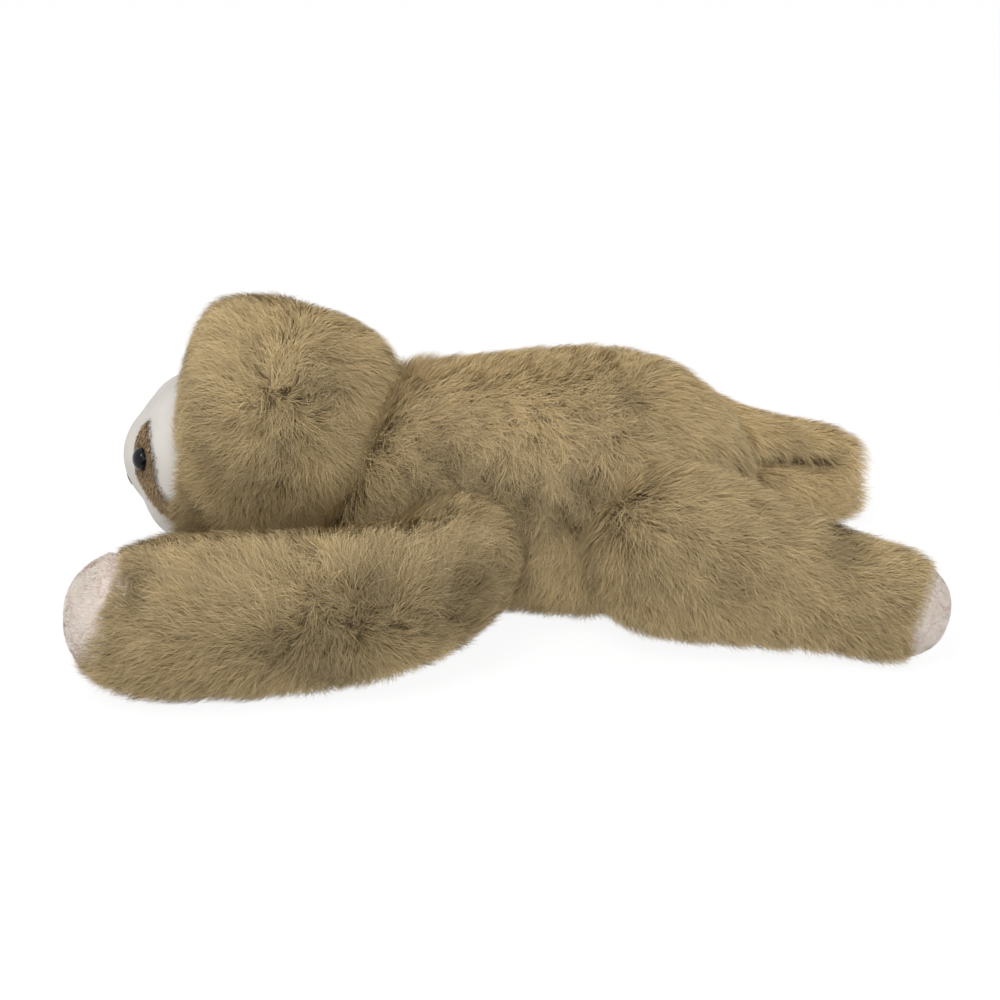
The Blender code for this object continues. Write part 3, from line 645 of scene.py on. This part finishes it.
# Painted shade at the tousled spots and with the mess, painted light on the tops, and painted
# bounce light from the floor on the undersides
TOUSLED_PAINTED_SHADE, MESS_PAINTED_SHADE, TOP_PAINTED_LIGHT, UNDER_PAINTED_BOUNCE_LIGHT = 0.36, 0.06, 0.2, 0.28
# How its tufts pull and its fibres stray, and how much calmer the top is
PULL, MESS_PULL, TOP_CALM, STRAY, MESS_STRAY = 0.14, 0.2, 0.6, 0.32, 0.4


def clip01(values):
    return np.clip(values, 0, 1)


def near_spot(points, x, z, reach_x, reach_z):
    """1 at a place seen from the side, in mm, and less away from it."""
    return np.exp(-((points[:, 0] - x * MM) / (reach_x * MM)) ** 2
                  - ((points[:, 2] - z * MM) / (reach_z * MM)) ** 2)


def brushed(kind, points):
    """The way that the pile lies at each point."""
    flow, total = np.zeros_like(points), np.zeros(len(points))
    for x, z, angle in BRUSH[kind]:
        off = (points[:, 0] - x * MM) ** 2 + (points[:, 2] - z * MM) ** 2
        weight = (off + STROKE_REACH ** 2) ** STROKE_FALL
        angle = math.radians(angle)
        flow[:, 0] += weight * math.cos(angle)
        flow[:, 2] += weight * math.sin(angle)
        total += weight
    return flow / total[:, None]


def tousled(kind, points):
    """How tousled the pile is at each point, from 0 up. grow also darkens the tone by it, as
    painted shade.
    """
    mess = np.zeros(len(points))
    for x, z, radius, amount in TOUSLED_AND_SHADED[kind]:
        mess = np.maximum(mess, amount * near_spot(points, x, z, radius, radius))
    return mess


def longer(spots):
    """A function for grow, of how long the pile is at points."""
    return lambda p: 1 + sum(amount * near_spot(p, *spot) for *spot, amount in spots)


def lighter(amount, start, end):
    """A function for grow, of painted light: a tone that turns lighter from one height to another.
    """
    return lambda p, n: -amount * clip01((p[:, 2] - start) / (end - start))


def grow(name, form, keep, kind, body, seed, taller, darker, shade=0.0, stop=None, upright=0.4):
    """The long pile of one form. upright is how much less it leans on the very top. shade is a tone
    over the whole form: painted light where positive, painted shade where negative. darker is taken
    off the tone: painted shade in a fold, and painted light by height where it is negative.
    """
    rng = np.random.default_rng(seed)
    roots, normals = sprinkle(form, rng, keep)
    flow = brushed(kind, roots)
    strength = clip01(np.linalg.norm(flow, axis=1) * AGREEMENT)
    upward = clip01(normals[:, 2])
    patchy = clip01(wobble(roots, seed + 70, PATCH_WAVE)[:, 0])
    dim = tousled(kind, roots)
    mess = clip01(dim + PATCH_MESS * patchy * (1 - upward ** 2) + CROSSED_MESS * (1 - strength))
    flow = FLOW_SHARE * flow
    for amount, more, scale, own_seed in FLOW_NOISE:
        flow += (amount + more * mess)[:, None] * wobble(roots, seed + own_seed, scale)
    lean = LEAN * (CROSSED_LEAN + (1 - CROSSED_LEAN) * strength) - MESS_LIFT * mess
    lean += TURN_LEAN * np.sin(np.pi * upward)
    lean -= upright * clip01((upward - TOP_START) / (1 - TOP_START))
    uneven = wobble(roots, seed + 50, HEIGHT_WAVE)[:, 0]
    height = PILE_HEIGHT * (1 + HEIGHT_NOISE * uneven - MESS_SINK * mess) * taller(roots)
    # The tone holds painted light and shade: the form's own offset, painted shade at the tousled
    # spots and with the mess, painted light on the top, painted bounce light underneath, and what
    # darker gives
    tone = shade + TONE_NOISE * wobble(roots, seed + 60, TONE_WAVE)[:, 1]
    tone -= TOUSLED_PAINTED_SHADE * dim + MESS_PAINTED_SHADE * mess
    tone += TOP_PAINTED_LIGHT * upward ** 2 + UNDER_PAINTED_BOUNCE_LIGHT * clip01(-normals[:, 2])
    tone -= darker(roots, normals)
    pull = (PULL + MESS_PULL * mess) * (1 - TOP_CALM * upward ** 2)
    pile(name, roots, normals, flow, rng, FUR, body, "fur_tan", height, tuft_size=26, pull=pull,
         stray=STRAY + MESS_STRAY * mess, spread=1.9, lean=lean, tone=tone, stop=stop)


# ---- body

# The space about the head's centre where the body grows no fur
UNDER_HEAD = np.array((58, 38, 44)) * MM
# How far the skins keep from the round that the head turns on
BREAST_INSET, NAPE_INSET = mm(2.5, 1)


def off_neck(points):
    """The way from the nod axis to each point, level across the toy."""
    away = points - NECK
    away[:, 1] = 0
    return away, np.linalg.norm(away, axis=1)


def meet_neck(form, radius, from_within):
    """Draws points to the round that the head turns on, from within it or from ahead."""
    away, far = off_neck(form.points)
    moved = far < radius if from_within else (form.points[:, 0] < NECK[0]) & (far > radius)
    form.points[moved] += away[moved] * (radius / far[moved] - 1)[:, None]
    form.renew()


def keep_body(p, n):
    return (((p - HEAD["centre"]) / UNDER_HEAD) ** 2).sum(axis=1) >= 1


body_form = egg(**BODY, inset=SKIN_INSET)
body_form.soften(1.2 * MM, 5, 60 * MM)
body_form.rest_on_floor()
meet_neck(body_form, NECK_RADIUS - BREAST_INSET, from_within=False)
shell("body_skin", body_form, FUR_BACKING, "body", "fur_tan", "body_cover",
                "body_stuffing")
# The body's pile is lighter towards its top, as painted light
grow("body_fur", body_form, keep_body, "body", "body", 101, longer(BODY_LONGER),
     lighter(0.16, 80 * MM, 100 * MM))

# ---- head

# Where the hood's fur ends ahead, and how much further ahead that is low down
HOOD_X, HOOD_FORWARD, HOOD_LOW, HOOD_TURN = mm(-122, 14, 76, 16)
HOOD_OVERLAP = 1 * MM


def keep_head(p, n):
    ahead = p[:, 0] < HOOD_X - HOOD_FORWARD * clip01((HOOD_LOW - p[:, 2]) / HOOD_TURN)
    across = np.abs(p[:, 1]) / (FACE_HALF_WIDTH - HOOD_OVERLAP)
    up = np.abs(p[:, 2] - FACE_Z) / (FACE_HALF_HEIGHT - HOOD_OVERLAP)
    in_face = ahead & (across ** FACE_POWER + up ** FACE_POWER < 1)
    return ~(in_face | (off_neck(p)[1] < NECK_RADIUS))


head_form = egg(**HEAD, inset=SKIN_INSET)
head_form.soften(1.0 * MM, 6, 50 * MM)
head_form.renew()
meet_neck(head_form, NECK_RADIUS + NAPE_INSET, from_within=True)
shell("head_skin", head_form, FUR_BACKING, "head", "fur_tan", "head_cover",
                "head_stuffing")
# The head's pile is lighter towards its bottom, as painted light
grow("head_fur", head_form, keep_head, "head", "head", 102, longer(HEAD_LONGER),
     lighter(0.28, 74 * MM, 54 * MM))

# ---- face

FACE_INSET = 0.9 * MM
# The rings that close the face behind
FACE_BACK = ((6 * MM, 0.995), (14 * MM, 0.9), (14 * MM, 0.4))
MUZZLE_BLEND, MUZZLE_FILL = 5 * MM, 0.35


def face_depth(y, z):
    """The X of the face at points seen from the front: dome and muzzle in one."""
    def dome(cz, length, half_width, half_height, power):
        rest = 1 - np.abs(y / half_width) ** power - np.abs((z - cz) / half_height) ** power
        return np.where(rest > 0, np.abs(rest) ** (1 / power) * length, -np.abs(rest) * length)

    a = dome(FACE_Z, FACE_LENGTH, FACE_HALF_WIDTH, FACE_HALF_HEIGHT, FACE_POWER) - FACE_X
    b = dome(MUZZLE_Z, MUZZLE_LENGTH, MUZZLE_HALF_WIDTH, MUZZLE_HALF_HEIGHT, 2.0) - MUZZLE_X
    blend = MUZZLE_BLEND * np.exp(-np.abs(a - b) / MUZZLE_BLEND)
    return -(np.maximum(a, b) + blend * MUZZLE_FILL)


def face_skin(sides=120, steps=44):
    across, up = oval(sides, (FACE_POWER, FACE_POWER))
    rings = []
    for r in np.sin(np.pi / 2 * (np.arange(steps) + 1) / steps):
        y, z = across * FACE_HALF_WIDTH * r, FACE_Z + up * FACE_HALF_HEIGHT * r
        rings.append(np.stack([face_depth(y, z), y, z], axis=1))
    for back, share in FACE_BACK:
        y, z = across * FACE_HALF_WIDTH * share, FACE_Z + up * FACE_HALF_HEIGHT * share
        rings.append(np.stack([np.full_like(y, FACE_X + back), y, z], axis=1))
    middle = np.array((face_depth(0, FACE_Z), 0, FACE_Z))
    form = loft(middle, np.array(rings), np.array((FACE_X + FACE_BACK[-1][0], 0, FACE_Z)))
    return form.moved(-FACE_INSET)


face_form = face_skin()
shell("face_skin", face_form, FACE_CLOTH, "head", "face_cream", "face_panel")

# The patch's outline, in shares of the face's half width and half height
PATCH_SHARES = np.array((
    (0.50, 0.62), (0.42, 0.48), (0.37, 0.34), (0.37, 0.20), (0.45, 0.04), (0.66, -0.06),
    (0.79, -0.18), (0.87, -0.32), (0.92, -0.48), (0.99, -0.42), (0.95, -0.28), (0.90, -0.12),
    (0.865, 0.0), (0.845, 0.16), (0.79, 0.32), (0.66, 0.48)))
PATCH_BACK = 2 * MM


def in_patch(p, side):
    """Which points lie in the patch's outline, seen from the front."""
    x = p[:, 1] * side / FACE_HALF_WIDTH
    y = (p[:, 2] - FACE_Z) / FACE_HALF_HEIGHT
    inside = np.zeros(len(p), bool)
    for (x0, y0), (x1, y1) in zip(PATCH_SHARES, np.roll(PATCH_SHARES, -1, axis=0)):
        crosses = (y0 > y) != (y1 > y)
        with np.errstate(divide="ignore", invalid="ignore"):
            at = x0 + (y - y0) * (x1 - x0) / (y1 - y0)
        inside ^= crosses & (x < at)
    return inside & (p[:, 0] < FACE_X + PATCH_BACK)


def in_patches(p):
    return in_patch(p, 1) | in_patch(p, -1)


EYE_SIDE, EYE_Z = mm(27.5, 70.5)
EYE_TURN, EYE_LIFT = math.radians(29), math.radians(8)
EYE_RADIUS, EYE_HEIGHT, EYE_RIM = mm(4.75, 3.8, 0.8)


def eye_frame(side):
    """Where an eye is seated on the face, and the way that it looks."""
    rest = 1 - (EYE_SIDE / FACE_HALF_WIDTH) ** FACE_POWER \
        - ((EYE_Z - FACE_Z) / FACE_HALF_HEIGHT) ** FACE_POWER
    x = FACE_X - FACE_LENGTH * rest ** (1 / FACE_POWER)
    level = np.array((-math.cos(EYE_TURN), side * math.sin(EYE_TURN), 0))
    look = level * math.cos(EYE_LIFT) + (0, 0, math.sin(EYE_LIFT))
    return np.array((x, side * EYE_SIDE, EYE_Z)), look


def near_eye(p, margin):
    near = np.zeros(len(p), bool)
    for _, side in SIDES:
        seat, look = eye_frame(side)
        v = p - seat
        off = v - np.outer(v @ look, look)
        near |= np.linalg.norm(off, axis=1) < EYE_RADIUS + margin
    return near


def face_flow(p):
    """The way of the face's pile: to its middle and a little up."""
    off = (p - (0, 0, FACE_Z)) / (1, FACE_HALF_WIDTH, FACE_HALF_HEIGHT)
    return -(off * (0, 1, 1) + (0.5, 0, -0.3))


# White pile stands only within PATCH_RIM of a patch
FACE_FRONT, PATCH_BLUR, PATCH_RIM = mm(1, 0.7, 1.6)
RIM_TURNS = (0.0, 1.1, 2.2, 3.3, 4.4, 5.5)
rng = np.random.default_rng(7)
roots, normals = scatter(face_form, rng, either(120000),
                         lambda p, n: (p[:, 0] < FACE_X + FACE_FRONT) & ~near_eye(p, 0))
brown = in_patches(roots + rng.normal(0, PATCH_BLUR, roots.shape))
by_patch = np.zeros(len(roots), bool)
for turn in RIM_TURNS:
    by_patch |= in_patches(roots + PATCH_RIM * np.array((0, math.cos(turn), math.sin(turn))))
white = ~brown & by_patch
pile("face_fuzz", roots[white], normals[white], face_flow(roots[white]), rng, FACE_PILE, "head",
     "face_cream", height=0.9 * MM, lean=0.95, width=0.16 * MM, tuft_size=7, pull=0.0, stray=0.6,
     spread=0.15)

# The hood's fur hangs over the lower sides of the face, from further ahead low down
FRINGE_TOP, FRINGE_BOTTOM, FRINGE_TURN, FRINGE_SIDE = mm(80, 33, 25, 20)
FRINGE_FRONT, FRINGE_FORWARD, FRINGE_BACK = mm(2, 4, 9)
FRINGE_HEIGHT, FRINGE_WAY = 2.5 * MM, np.array((-1.0, 0.0, -0.25))


def how_low(p):
    return clip01((FRINGE_TOP - p[:, 2]) / FRINGE_TURN)


def hung(p, n):
    back = p[:, 0] - FACE_X
    beside = (np.abs(p[:, 1]) > FRINGE_SIDE) & (p[:, 2] < FRINGE_TOP) & (p[:, 2] > FRINGE_BOTTOM)
    return (back > FRINGE_FRONT - FRINGE_FORWARD * how_low(p)) & (back < FRINGE_BACK) & beside


rng = np.random.default_rng(17)
roots, normals = scatter(face_form, rng, either(150000), hung)
flow = FRINGE_WAY + 0.3 * wobble(roots, 18, scale=12 * MM)
pile("hood_fringe", roots, normals, flow, rng, FUR, "head", "fur_tan",
     FRINGE_HEIGHT * (1 + how_low(roots)), tuft_size=20, pull=0.15, stray=0.4, spread=1.5,
     tone=-0.05)


PATCH_LIFT, UNDER_EYE = mm(0.12, 0.4)
# The patch's pile is darker by the eye, and in soft bands
EYE_DARK, EYE_DARK_REACH, PATCH_TONE, BAND_LIGHT, BAND_WAVE = 0.22, 2.5 * MM, 0.06, 0.12, 7 * MM
for hand, side in SIDES:
    rng = np.random.default_rng(8 + side)
    layer = face_form.moved(PATCH_LIFT)
    inside = in_patch(layer.points, side)
    quads = layer.quads[inside[layer.quads].all(axis=1)]
    used, index = np.unique(quads, return_inverse=True)
    patch = mesh_object(f"patch_cloth_{hand}", layer.points[used],
                        [layer.facing_out(index.reshape(-1, 4))], PATCH_CLOTH)
    thick = patch.modifiers.new("Cloth", "SOLIDIFY")
    thick.thickness = 0.4 * MM
    thick.offset = -1
    dress(patch, "head", "patch_brown", f"eye_patch_{hand}")
    roots, normals = scatter(
        face_form, rng, either(260000), lambda p, n: ~near_eye(p, -UNDER_EYE)
        & in_patch(p + rng.normal(0, PATCH_BLUR, p.shape), side))
    off_eye = np.linalg.norm(roots - eye_frame(side)[0], axis=1) - EYE_RADIUS
    tone = PATCH_TONE - EYE_DARK * np.exp(-(off_eye / EYE_DARK_REACH) ** 2)
    tone += BAND_LIGHT * wobble(roots, 9, BAND_WAVE)[:, 0]
    flow = np.array((0.4, 0, -1.0)) + np.outer(np.sign(roots[:, 1]), (0, 0.5, 0))
    pile(f"patch_fuzz_{hand}", roots, normals, flow, rng, PATCH_PILE, "head",
         "patch_brown", height=1.9 * MM, width=0.2 * MM, tuft_size=14, pull=0.35, stray=0.35,
         spread=1.6, tone=tone)

# ---- eyes and nose


def turned(name, profile, centre, direction, material):
    """A solid turned from (radius, height) points about a line."""
    work = bmesh.new()
    verts = [work.verts.new((r, 0, h)) for r, h in profile]
    edges = [work.edges.new(pair) for pair in zip(verts, verts[1:])]
    bmesh.ops.spin(work, geom=verts + edges, cent=(0, 0, 0), axis=(0, 0, 1), angle=2 * math.pi,
                   steps=64)
    bmesh.ops.remove_doubles(work, verts=work.verts, dist=0.001 * MM)
    turn = Vector((0, 0, 1)).rotation_difference(Vector(direction)).to_matrix()
    bmesh.ops.rotate(work, matrix=turn, verts=work.verts)
    bmesh.ops.translate(work, vec=centre, verts=work.verts)
    bmesh.ops.recalc_face_normals(work, faces=work.faces)
    mesh = bpy.data.meshes.new(name)
    work.to_mesh(mesh)
    work.free()
    mesh.shade_smooth()
    mesh.set_sharp_from_angle(angle=math.radians(50))
    return placed(name, mesh, material)


EYE_STEPS, EYE_PROUD = 14, 0.3 * MM
# The eye's back edge, and the shank behind it
EYE_EDGE, EYE_BACK, EYE_BEVEL = mm(0.1, 0.4, 0.3)
SHANK_RADIUS, SHANK_LENGTH = mm(1.6, 7)
for hand, side in SIDES:
    seat, look = eye_frame(side)
    profile = [(0.0, EYE_HEIGHT)]
    for i in range(1, EYE_STEPS + 1):
        a = math.pi / 2 * i / EYE_STEPS
        profile.append((EYE_RADIUS * math.sin(a), EYE_RIM + (EYE_HEIGHT - EYE_RIM) * math.cos(a)))
    profile += [(EYE_RADIUS, EYE_EDGE), (EYE_RADIUS - EYE_BEVEL, -EYE_BACK),
                (SHANK_RADIUS, -EYE_BACK), (SHANK_RADIUS, -SHANK_LENGTH), (0.0, -SHANK_LENGTH)]
    eye = turned(f"eye_button_{hand}", profile, seat + look * EYE_PROUD, look, EYE_GLOSS)
    dress(eye, "head", "eye_black", f"eye_{hand}")
    NODES[f"eye_washer_{hand}"].material_slots[0].material = WASHER_WHITE

# The nose lies in the face's pile, with its rim sunk and its middle domed
NOSE_Z, NOSE_HALF_WIDTH, NOSE_HALF_HEIGHT = mm(52, 4.4, 2.9)
NOSE_SUNK, NOSE_DOME, NOSE_THICK = mm(0.85, 0.35, 1.0)
NOSE_SHARES, NOSE_POWER, NOSE_BACK = np.arange(1, 11) / 10, 4, (0.95, NOSE_THICK)
across, up = oval(48, ROUND)
rings = []
for share, behind in [(r, -NOSE_DOME * (1 - r ** NOSE_POWER)) for r in NOSE_SHARES] + [NOSE_BACK]:
    y, z = across * NOSE_HALF_WIDTH * share, NOSE_Z + up * NOSE_HALF_HEIGHT * share
    rings.append(np.stack([face_depth(y, z) + NOSE_SUNK + behind, y, z], axis=1))
depth = face_depth(0, NOSE_Z) + NOSE_SUNK
nose_form = loft(np.array((depth - NOSE_DOME, 0, NOSE_Z)), np.array(rings),
                 np.array((depth + NOSE_THICK, 0, NOSE_Z)))
shell("nose_pad", nose_form, NOSE_THREAD, "head", "nose_brown", "nose")

# ---- limbs

TIP_NAME = {"arm": "paw_tip", "leg": "foot_tip"}
UPRIGHT = {"arm": 0.4, "leg": 0.0}
# Each limb's tone over its whole pile: painted shade on the arms and the near leg, and painted
# light on the far leg, which faces away from the key lamp
LIMB_PAINTED_SHADING = {"left_arm": -0.18, "right_arm": -0.18, "left_leg": -0.12, "right_leg": 0.38}
# How far behind each tip's seam the fur ends, at the bottom and at the top
PALE_BACK = {"arm": mm(0.5, 6.5), "leg": mm(2.5, 3)}
PALE_TURN = 50 * MM
# How far inside its own edge the fur starts, and how far past the root's face its pile goes
FUR_EDGE, ROOT_EDGE = mm(0.4, 0.5)

# The fold along the inner side of each foot: its line, its depth, and how it starts and ends
FOLD_X, FOLD_Z, FOLD_FALL, FOLD_END = 106 * MM, 43 * MM, 0.27, 152 * MM
FOLD_SHARE = {"left_arm": 0, "right_arm": 0, "left_leg": 0.3, "right_leg": 1.0}
FOLD_DEPTH, FOLD_HALF_WIDTH, FOLD_FACING = 9 * MM, 4.6 * MM, 3
FOLD_AHEAD, FOLD_START, FOLD_STOP = mm(10, 14, 8)
# No fur grows deeper in the fold than this share, and it is shorter beside it
BARE_FOLD, FOLD_SHORT, FOLD_SHORT_BELOW, FOLD_SHORT_REACH = 0.6, 0.5, 3 * MM, 6 * MM
# The fur that hangs over the turned foot's tip, on its inner side
TURNED_AWAY = "right_leg"
OVERHANG, OVERHANG_LONGER, OVERHANG_REACH = 13 * MM, 0.45, 9 * MM
INNER_START, INNER_TURN, TURNED_TIP_SHORTER = 0.6, 16 * MM, 5 * MM

TIP_BLUNTNESS = 0.06
# How far a tip goes on behind its seam, and how it is closed there
TIP_BEHIND, TIP_CLOSE, TIP_CLOSING, TIP_DEEPEST = 2 * MM, 1 * MM, (0.96, 0.6, 0.2), -0.99
TIP_FUZZ_BACK, TIP_FUZZ_DROP = 1.5 * MM, (0, 0, -0.3)


def seam(kind, spine):
    """A point of the plane where the pale tip is sewn on, and the outward direction."""
    end, heading = bezier(spine, 1.0)
    level = unit(np.array((heading[0], heading[1], 0)))
    if kind == "arm":
        place = np.array((PAW_SEAM_X, end[1], PAW_SEAM_Z))
        return place, level * math.cos(PAW_TILT) + (0, 0, math.sin(PAW_TILT))
    place = end + heading * FOOT_SEAM_BACK - (0, 0, FOOT_SEAM_DROP)
    return place, level * math.cos(FOOT_TILT) - (0, 0, math.sin(FOOT_TILT))


def tip_skin(end, heading, radius, dome, place, out, back_by, sides=72, steps=24):
    """The dome of a pale tip from behind its seam, closed.

    It is a ball stretched along the heading, so the seam's plane is met in the ball's own space.
    """
    stretch = np.eye(3) * radius + np.outer(heading, heading) * (dome - radius)
    axis = stretch @ out
    reach = np.linalg.norm(axis)
    axis = axis / reach
    depth = ((place - end) @ out - back_by - TIP_BEHIND) / reach
    widest = math.acos(max(TIP_DEEPEST, depth))
    first = unit(np.cross(axis, (0, 0, 1.0)))
    second = np.cross(first, axis)
    turn = 2 * np.pi * np.arange(sides) / sides
    round_about = np.outer(np.cos(turn), first) + np.outer(np.sin(turn), second)
    rings = [axis * math.cos(angle) + round_about * math.sin(angle)
             for angle in widest * (np.arange(steps) + 1) / steps]
    back = depth - TIP_CLOSE / reach
    rings += [axis * back + round_about * math.sin(widest) * share for share in TIP_CLOSING]
    form = loft(axis, np.array(rings), axis * back)
    along = form.points @ heading
    blunt = 1 + TIP_BLUNTNESS * 4 * along ** 2 * clip01(1 - along ** 2) * (along > depth)
    form.points = end + (form.points * blunt[:, None]) @ stretch
    form.rest_on_floor()
    return form


def off_fold(p):
    """How far each point lies above the fold's line."""
    return p[:, 2] - (FOLD_Z - (p[:, 0] - FOLD_X) * FOLD_FALL)


def limb(kind, hand, side, seed):
    spine = arm_spine(side) if kind == "arm" else leg_spine(hand, side)
    root_radius, tip_radius, dome = LIMB_SIZES[kind]
    body, tip_name = f"{hand}_{kind}", TIP_NAME[kind]
    place, out = seam(kind, spine)
    low, high = PALE_BACK[kind]
    turned_away = body == TURNED_AWAY
    hub = SHOULDER if kind == "arm" else (HIP[0], HIP_ROOT_SIDE, HIP[2])

    def by_root(p, margin):
        """The points that face the body inside the root's seam."""
        off = np.hypot(p[:, 0] - hub[0], p[:, 2] - hub[2])
        inside = hub[1] + margin - np.abs(p[:, 1])
        return (inside > 0) & (off < root_radius + ROOT_MARGIN + inside)

    def room_at(p):
        """How far each point lies behind the edge of the fur."""
        up = clip01(0.5 + (p[:, 2] - place[2]) / PALE_TURN)
        return -(p - place) @ out - (low + (high - low) * up)

    def crease(p, n):
        """How deep in the foot's fold each point lies, from 0 to 1."""
        along = clip01((p[:, 0] - FOLD_X + FOLD_AHEAD) / FOLD_START)
        along *= clip01((FOLD_END - p[:, 0]) / FOLD_STOP)
        facing = clip01(-n[:, 1] * side * FOLD_FACING)
        return np.exp(-(off_fold(p) / FOLD_HALF_WIDTH) ** 2) * along * facing * FOLD_SHARE[body]

    def inner_side(p):
        """1 on the side that faces the other foot, for the foot that is turned away."""
        return clip01(INNER_START - (p[:, 1] - place[1]) * side / INNER_TURN) * turned_away

    def hanging(p):
        return room_at(p) + OVERHANG * inner_side(p)

    def keep(p, n):
        furry = (room_at(p) > FUR_EDGE) & ((p - place) @ out < -FUR_EDGE)
        return ~by_root(p, ROOT_EDGE) & furry & ~(crease(p, n) > BARE_FOLD)

    def length(p):
        by_tip = np.exp(-(room_at(p) / OVERHANG_REACH) ** 2) * inner_side(p)
        by_fold = np.exp(-((off_fold(p) + FOLD_SHORT_BELOW) / FOLD_SHORT_REACH) ** 2)
        return 1 + OVERHANG_LONGER * by_tip - FOLD_SHORT * FOLD_SHARE[body] * by_fold

    form = sausage(spine, root_radius, tip_radius, dome, inset=SKIN_INSET)
    form.soften(0.8 * MM, seed, 45 * MM)
    form.points -= form.normals * (FOLD_DEPTH * crease(form.points, form.normals))[:, None]
    form.points[by_root(form.points, 0), 1] = side * hub[1]
    past = (form.points - place) @ out
    form.points[past > 0] -= np.outer(past[past > 0], out)
    form.rest_on_floor()
    shell(f"{kind}_skin_{hand}", form, FUR_BACKING, body, "fur_tan",
                    f"{kind}_cover_{hand}", f"{kind}_stuffing_{hand}")
    # The crease also darkens the pile's tone, as painted shade in the fold
    grow(f"{kind}_fur_{hand}", form, keep, kind, body, seed, length, crease,
         shade=LIMB_PAINTED_SHADING[body], stop=(hanging, out), upright=UPRIGHT[kind])

    # The root's inner face, which shows when the limb is lifted
    rng = np.random.default_rng(seed + 20)
    roots, normals = sprinkle(form, rng, lambda p, n: by_root(p, ROOT_EDGE), ROOT_DENSITY)
    flow = brushed(kind, roots) + 0.4 * wobble(roots, seed + 21, scale=14 * MM)
    pile(f"{kind}_root_fur_{hand}", roots, normals, flow, rng, FUR, body, "fur_tan",
         height=2.6 * MM, tuft_size=20, pull=0.15, stray=0.5, spread=1.6, tone=-0.1)

    end, heading = bezier(spine, 1.0)
    shorter = TIP_SKIN_INSET + TURNED_TIP_SHORTER * turned_away
    tip_form = tip_skin(end, heading, tip_radius - TIP_SKIN_INSET, dome - shorter, place, out, high)
    shell(f"{tip_name}_skin_{hand}", tip_form, TIP_CLOTH, body, "tip_blush",
                    f"{tip_name}_{hand}")
    rng = np.random.default_rng(seed + 5)
    roots, normals = scatter(tip_form, rng, either(40000),
                             lambda p, n: room_at(p) < TIP_FUZZ_BACK)
    flow = out + TIP_FUZZ_DROP + 0.4 * wobble(roots, seed + 6, scale=12 * MM)
    pile(f"{tip_name}_fuzz_{hand}", roots, normals, flow, rng, TIP_PILE, body, "tip_blush",
         height=1.3 * MM, lean=0.8, width=0.15 * MM, tuft_size=7, pull=0.3, stray=0.6, spread=0.2)


for number, (hand, side) in enumerate(SIDES):
    limb("arm", hand, side, 200 + number)
    limb("leg", hand, side, 300 + number)

# ---- floor, light and camera

# How brightly the floor glows for the rays that see the backdrop, and the glow's share of what
# they see: the rest keeps the shadow
FLOOR_GLOW, FLOOR_WHITE_SHARE = 1.03, 0.9
BACKDROP_GLOW, WORLD_LIGHT = 1.0, 0.66
# Each lamp's place, width and power
LAMPS = {"key": ((-0.5, -1.1, 1.5), 0.9, 18.5), "fill": ((1.0, -1.2, 0.7), 1.0, 5.5)}
LAMP_AIM = (0, 0, 0.05)
# The camera stands 1 m from what it aims at
CAMERA_AIM, ELEVATION = Vector(mm(-6, 0, 41.7)), math.radians(20.5)


def backdrop_rays(tree):
    """1 for the rays that see the white backdrop: the camera's, mirrored and clear ones."""
    rays = tree.nodes.new("ShaderNodeLightPath")
    total = rays.outputs["Is Camera Ray"]
    for kind in ("Is Glossy Ray", "Is Transmission Ray"):
        most = tree.nodes.new("ShaderNodeMath")
        most.operation = "MAXIMUM"
        tree.links.new(total, most.inputs[0])
        tree.links.new(rays.outputs[kind], most.inputs[1])
        total = most.outputs[0]
    return total


bpy.ops.mesh.primitive_plane_add(size=6.0, location=(0, 0, 0))
floor = bpy.context.object
floor.name = "studio_floor"
look = Nodes("studio_white")
look.colour((0.9, 0.9, 0.9, 1))
look.set(Roughness=0.9)
glow = look.add("ShaderNodeEmission")
glow.inputs["Strength"].default_value = FLOOR_GLOW
mix = look.add("ShaderNodeMixShader")
look.link(look.times(backdrop_rays(look.tree), FLOOR_WHITE_SHARE), mix.inputs[0])
look.link(look.shader.outputs[0], mix.inputs[1])
look.link(glow.outputs[0], mix.inputs[2])
look.link(mix.outputs[0], look.tree.nodes["Material Output"].inputs["Surface"])
floor.data.materials.append(look.material)

scene = bpy.context.scene
world = bpy.data.worlds.new("studio")
scene.world = world
world.use_nodes = True
tree = world.node_tree
tree.nodes.clear()
output = tree.nodes.new("ShaderNodeOutputWorld")
choose = tree.nodes.new("ShaderNodeMixShader")
tree.links.new(backdrop_rays(tree), choose.inputs[0])
for socket, strength in ((1, WORLD_LIGHT), (2, BACKDROP_GLOW)):
    background = tree.nodes.new("ShaderNodeBackground")
    background.inputs["Color"].default_value = WHITE
    background.inputs["Strength"].default_value = strength
    tree.links.new(background.outputs[0], choose.inputs[socket])
tree.links.new(choose.outputs[0], output.inputs["Surface"])

for name, (place, width, power) in LAMPS.items():
    light = bpy.data.lights.new(name, "AREA")
    light.shape = "DISK"
    light.size = width
    light.energy = power
    lamp = bpy.data.objects.new(name, light)
    lamp.location = place
    lamp.rotation_euler = (Vector(LAMP_AIM) - Vector(place)).to_track_quat("-Z", "Y").to_euler()
    scene.collection.objects.link(lamp)

lens = bpy.data.cameras.new("camera")
lens.lens = 82.66
lens.sensor_width = 36.0
lens.clip_start = 0.01
camera = bpy.data.objects.new("camera", lens)
camera.location = CAMERA_AIM + Vector((0, -math.cos(ELEVATION), math.sin(ELEVATION)))
camera.rotation_euler = (math.pi / 2 - ELEVATION, 0, 0)
scene.collection.objects.link(camera)
scene.camera = camera
scene.view_settings.view_transform = "Standard"
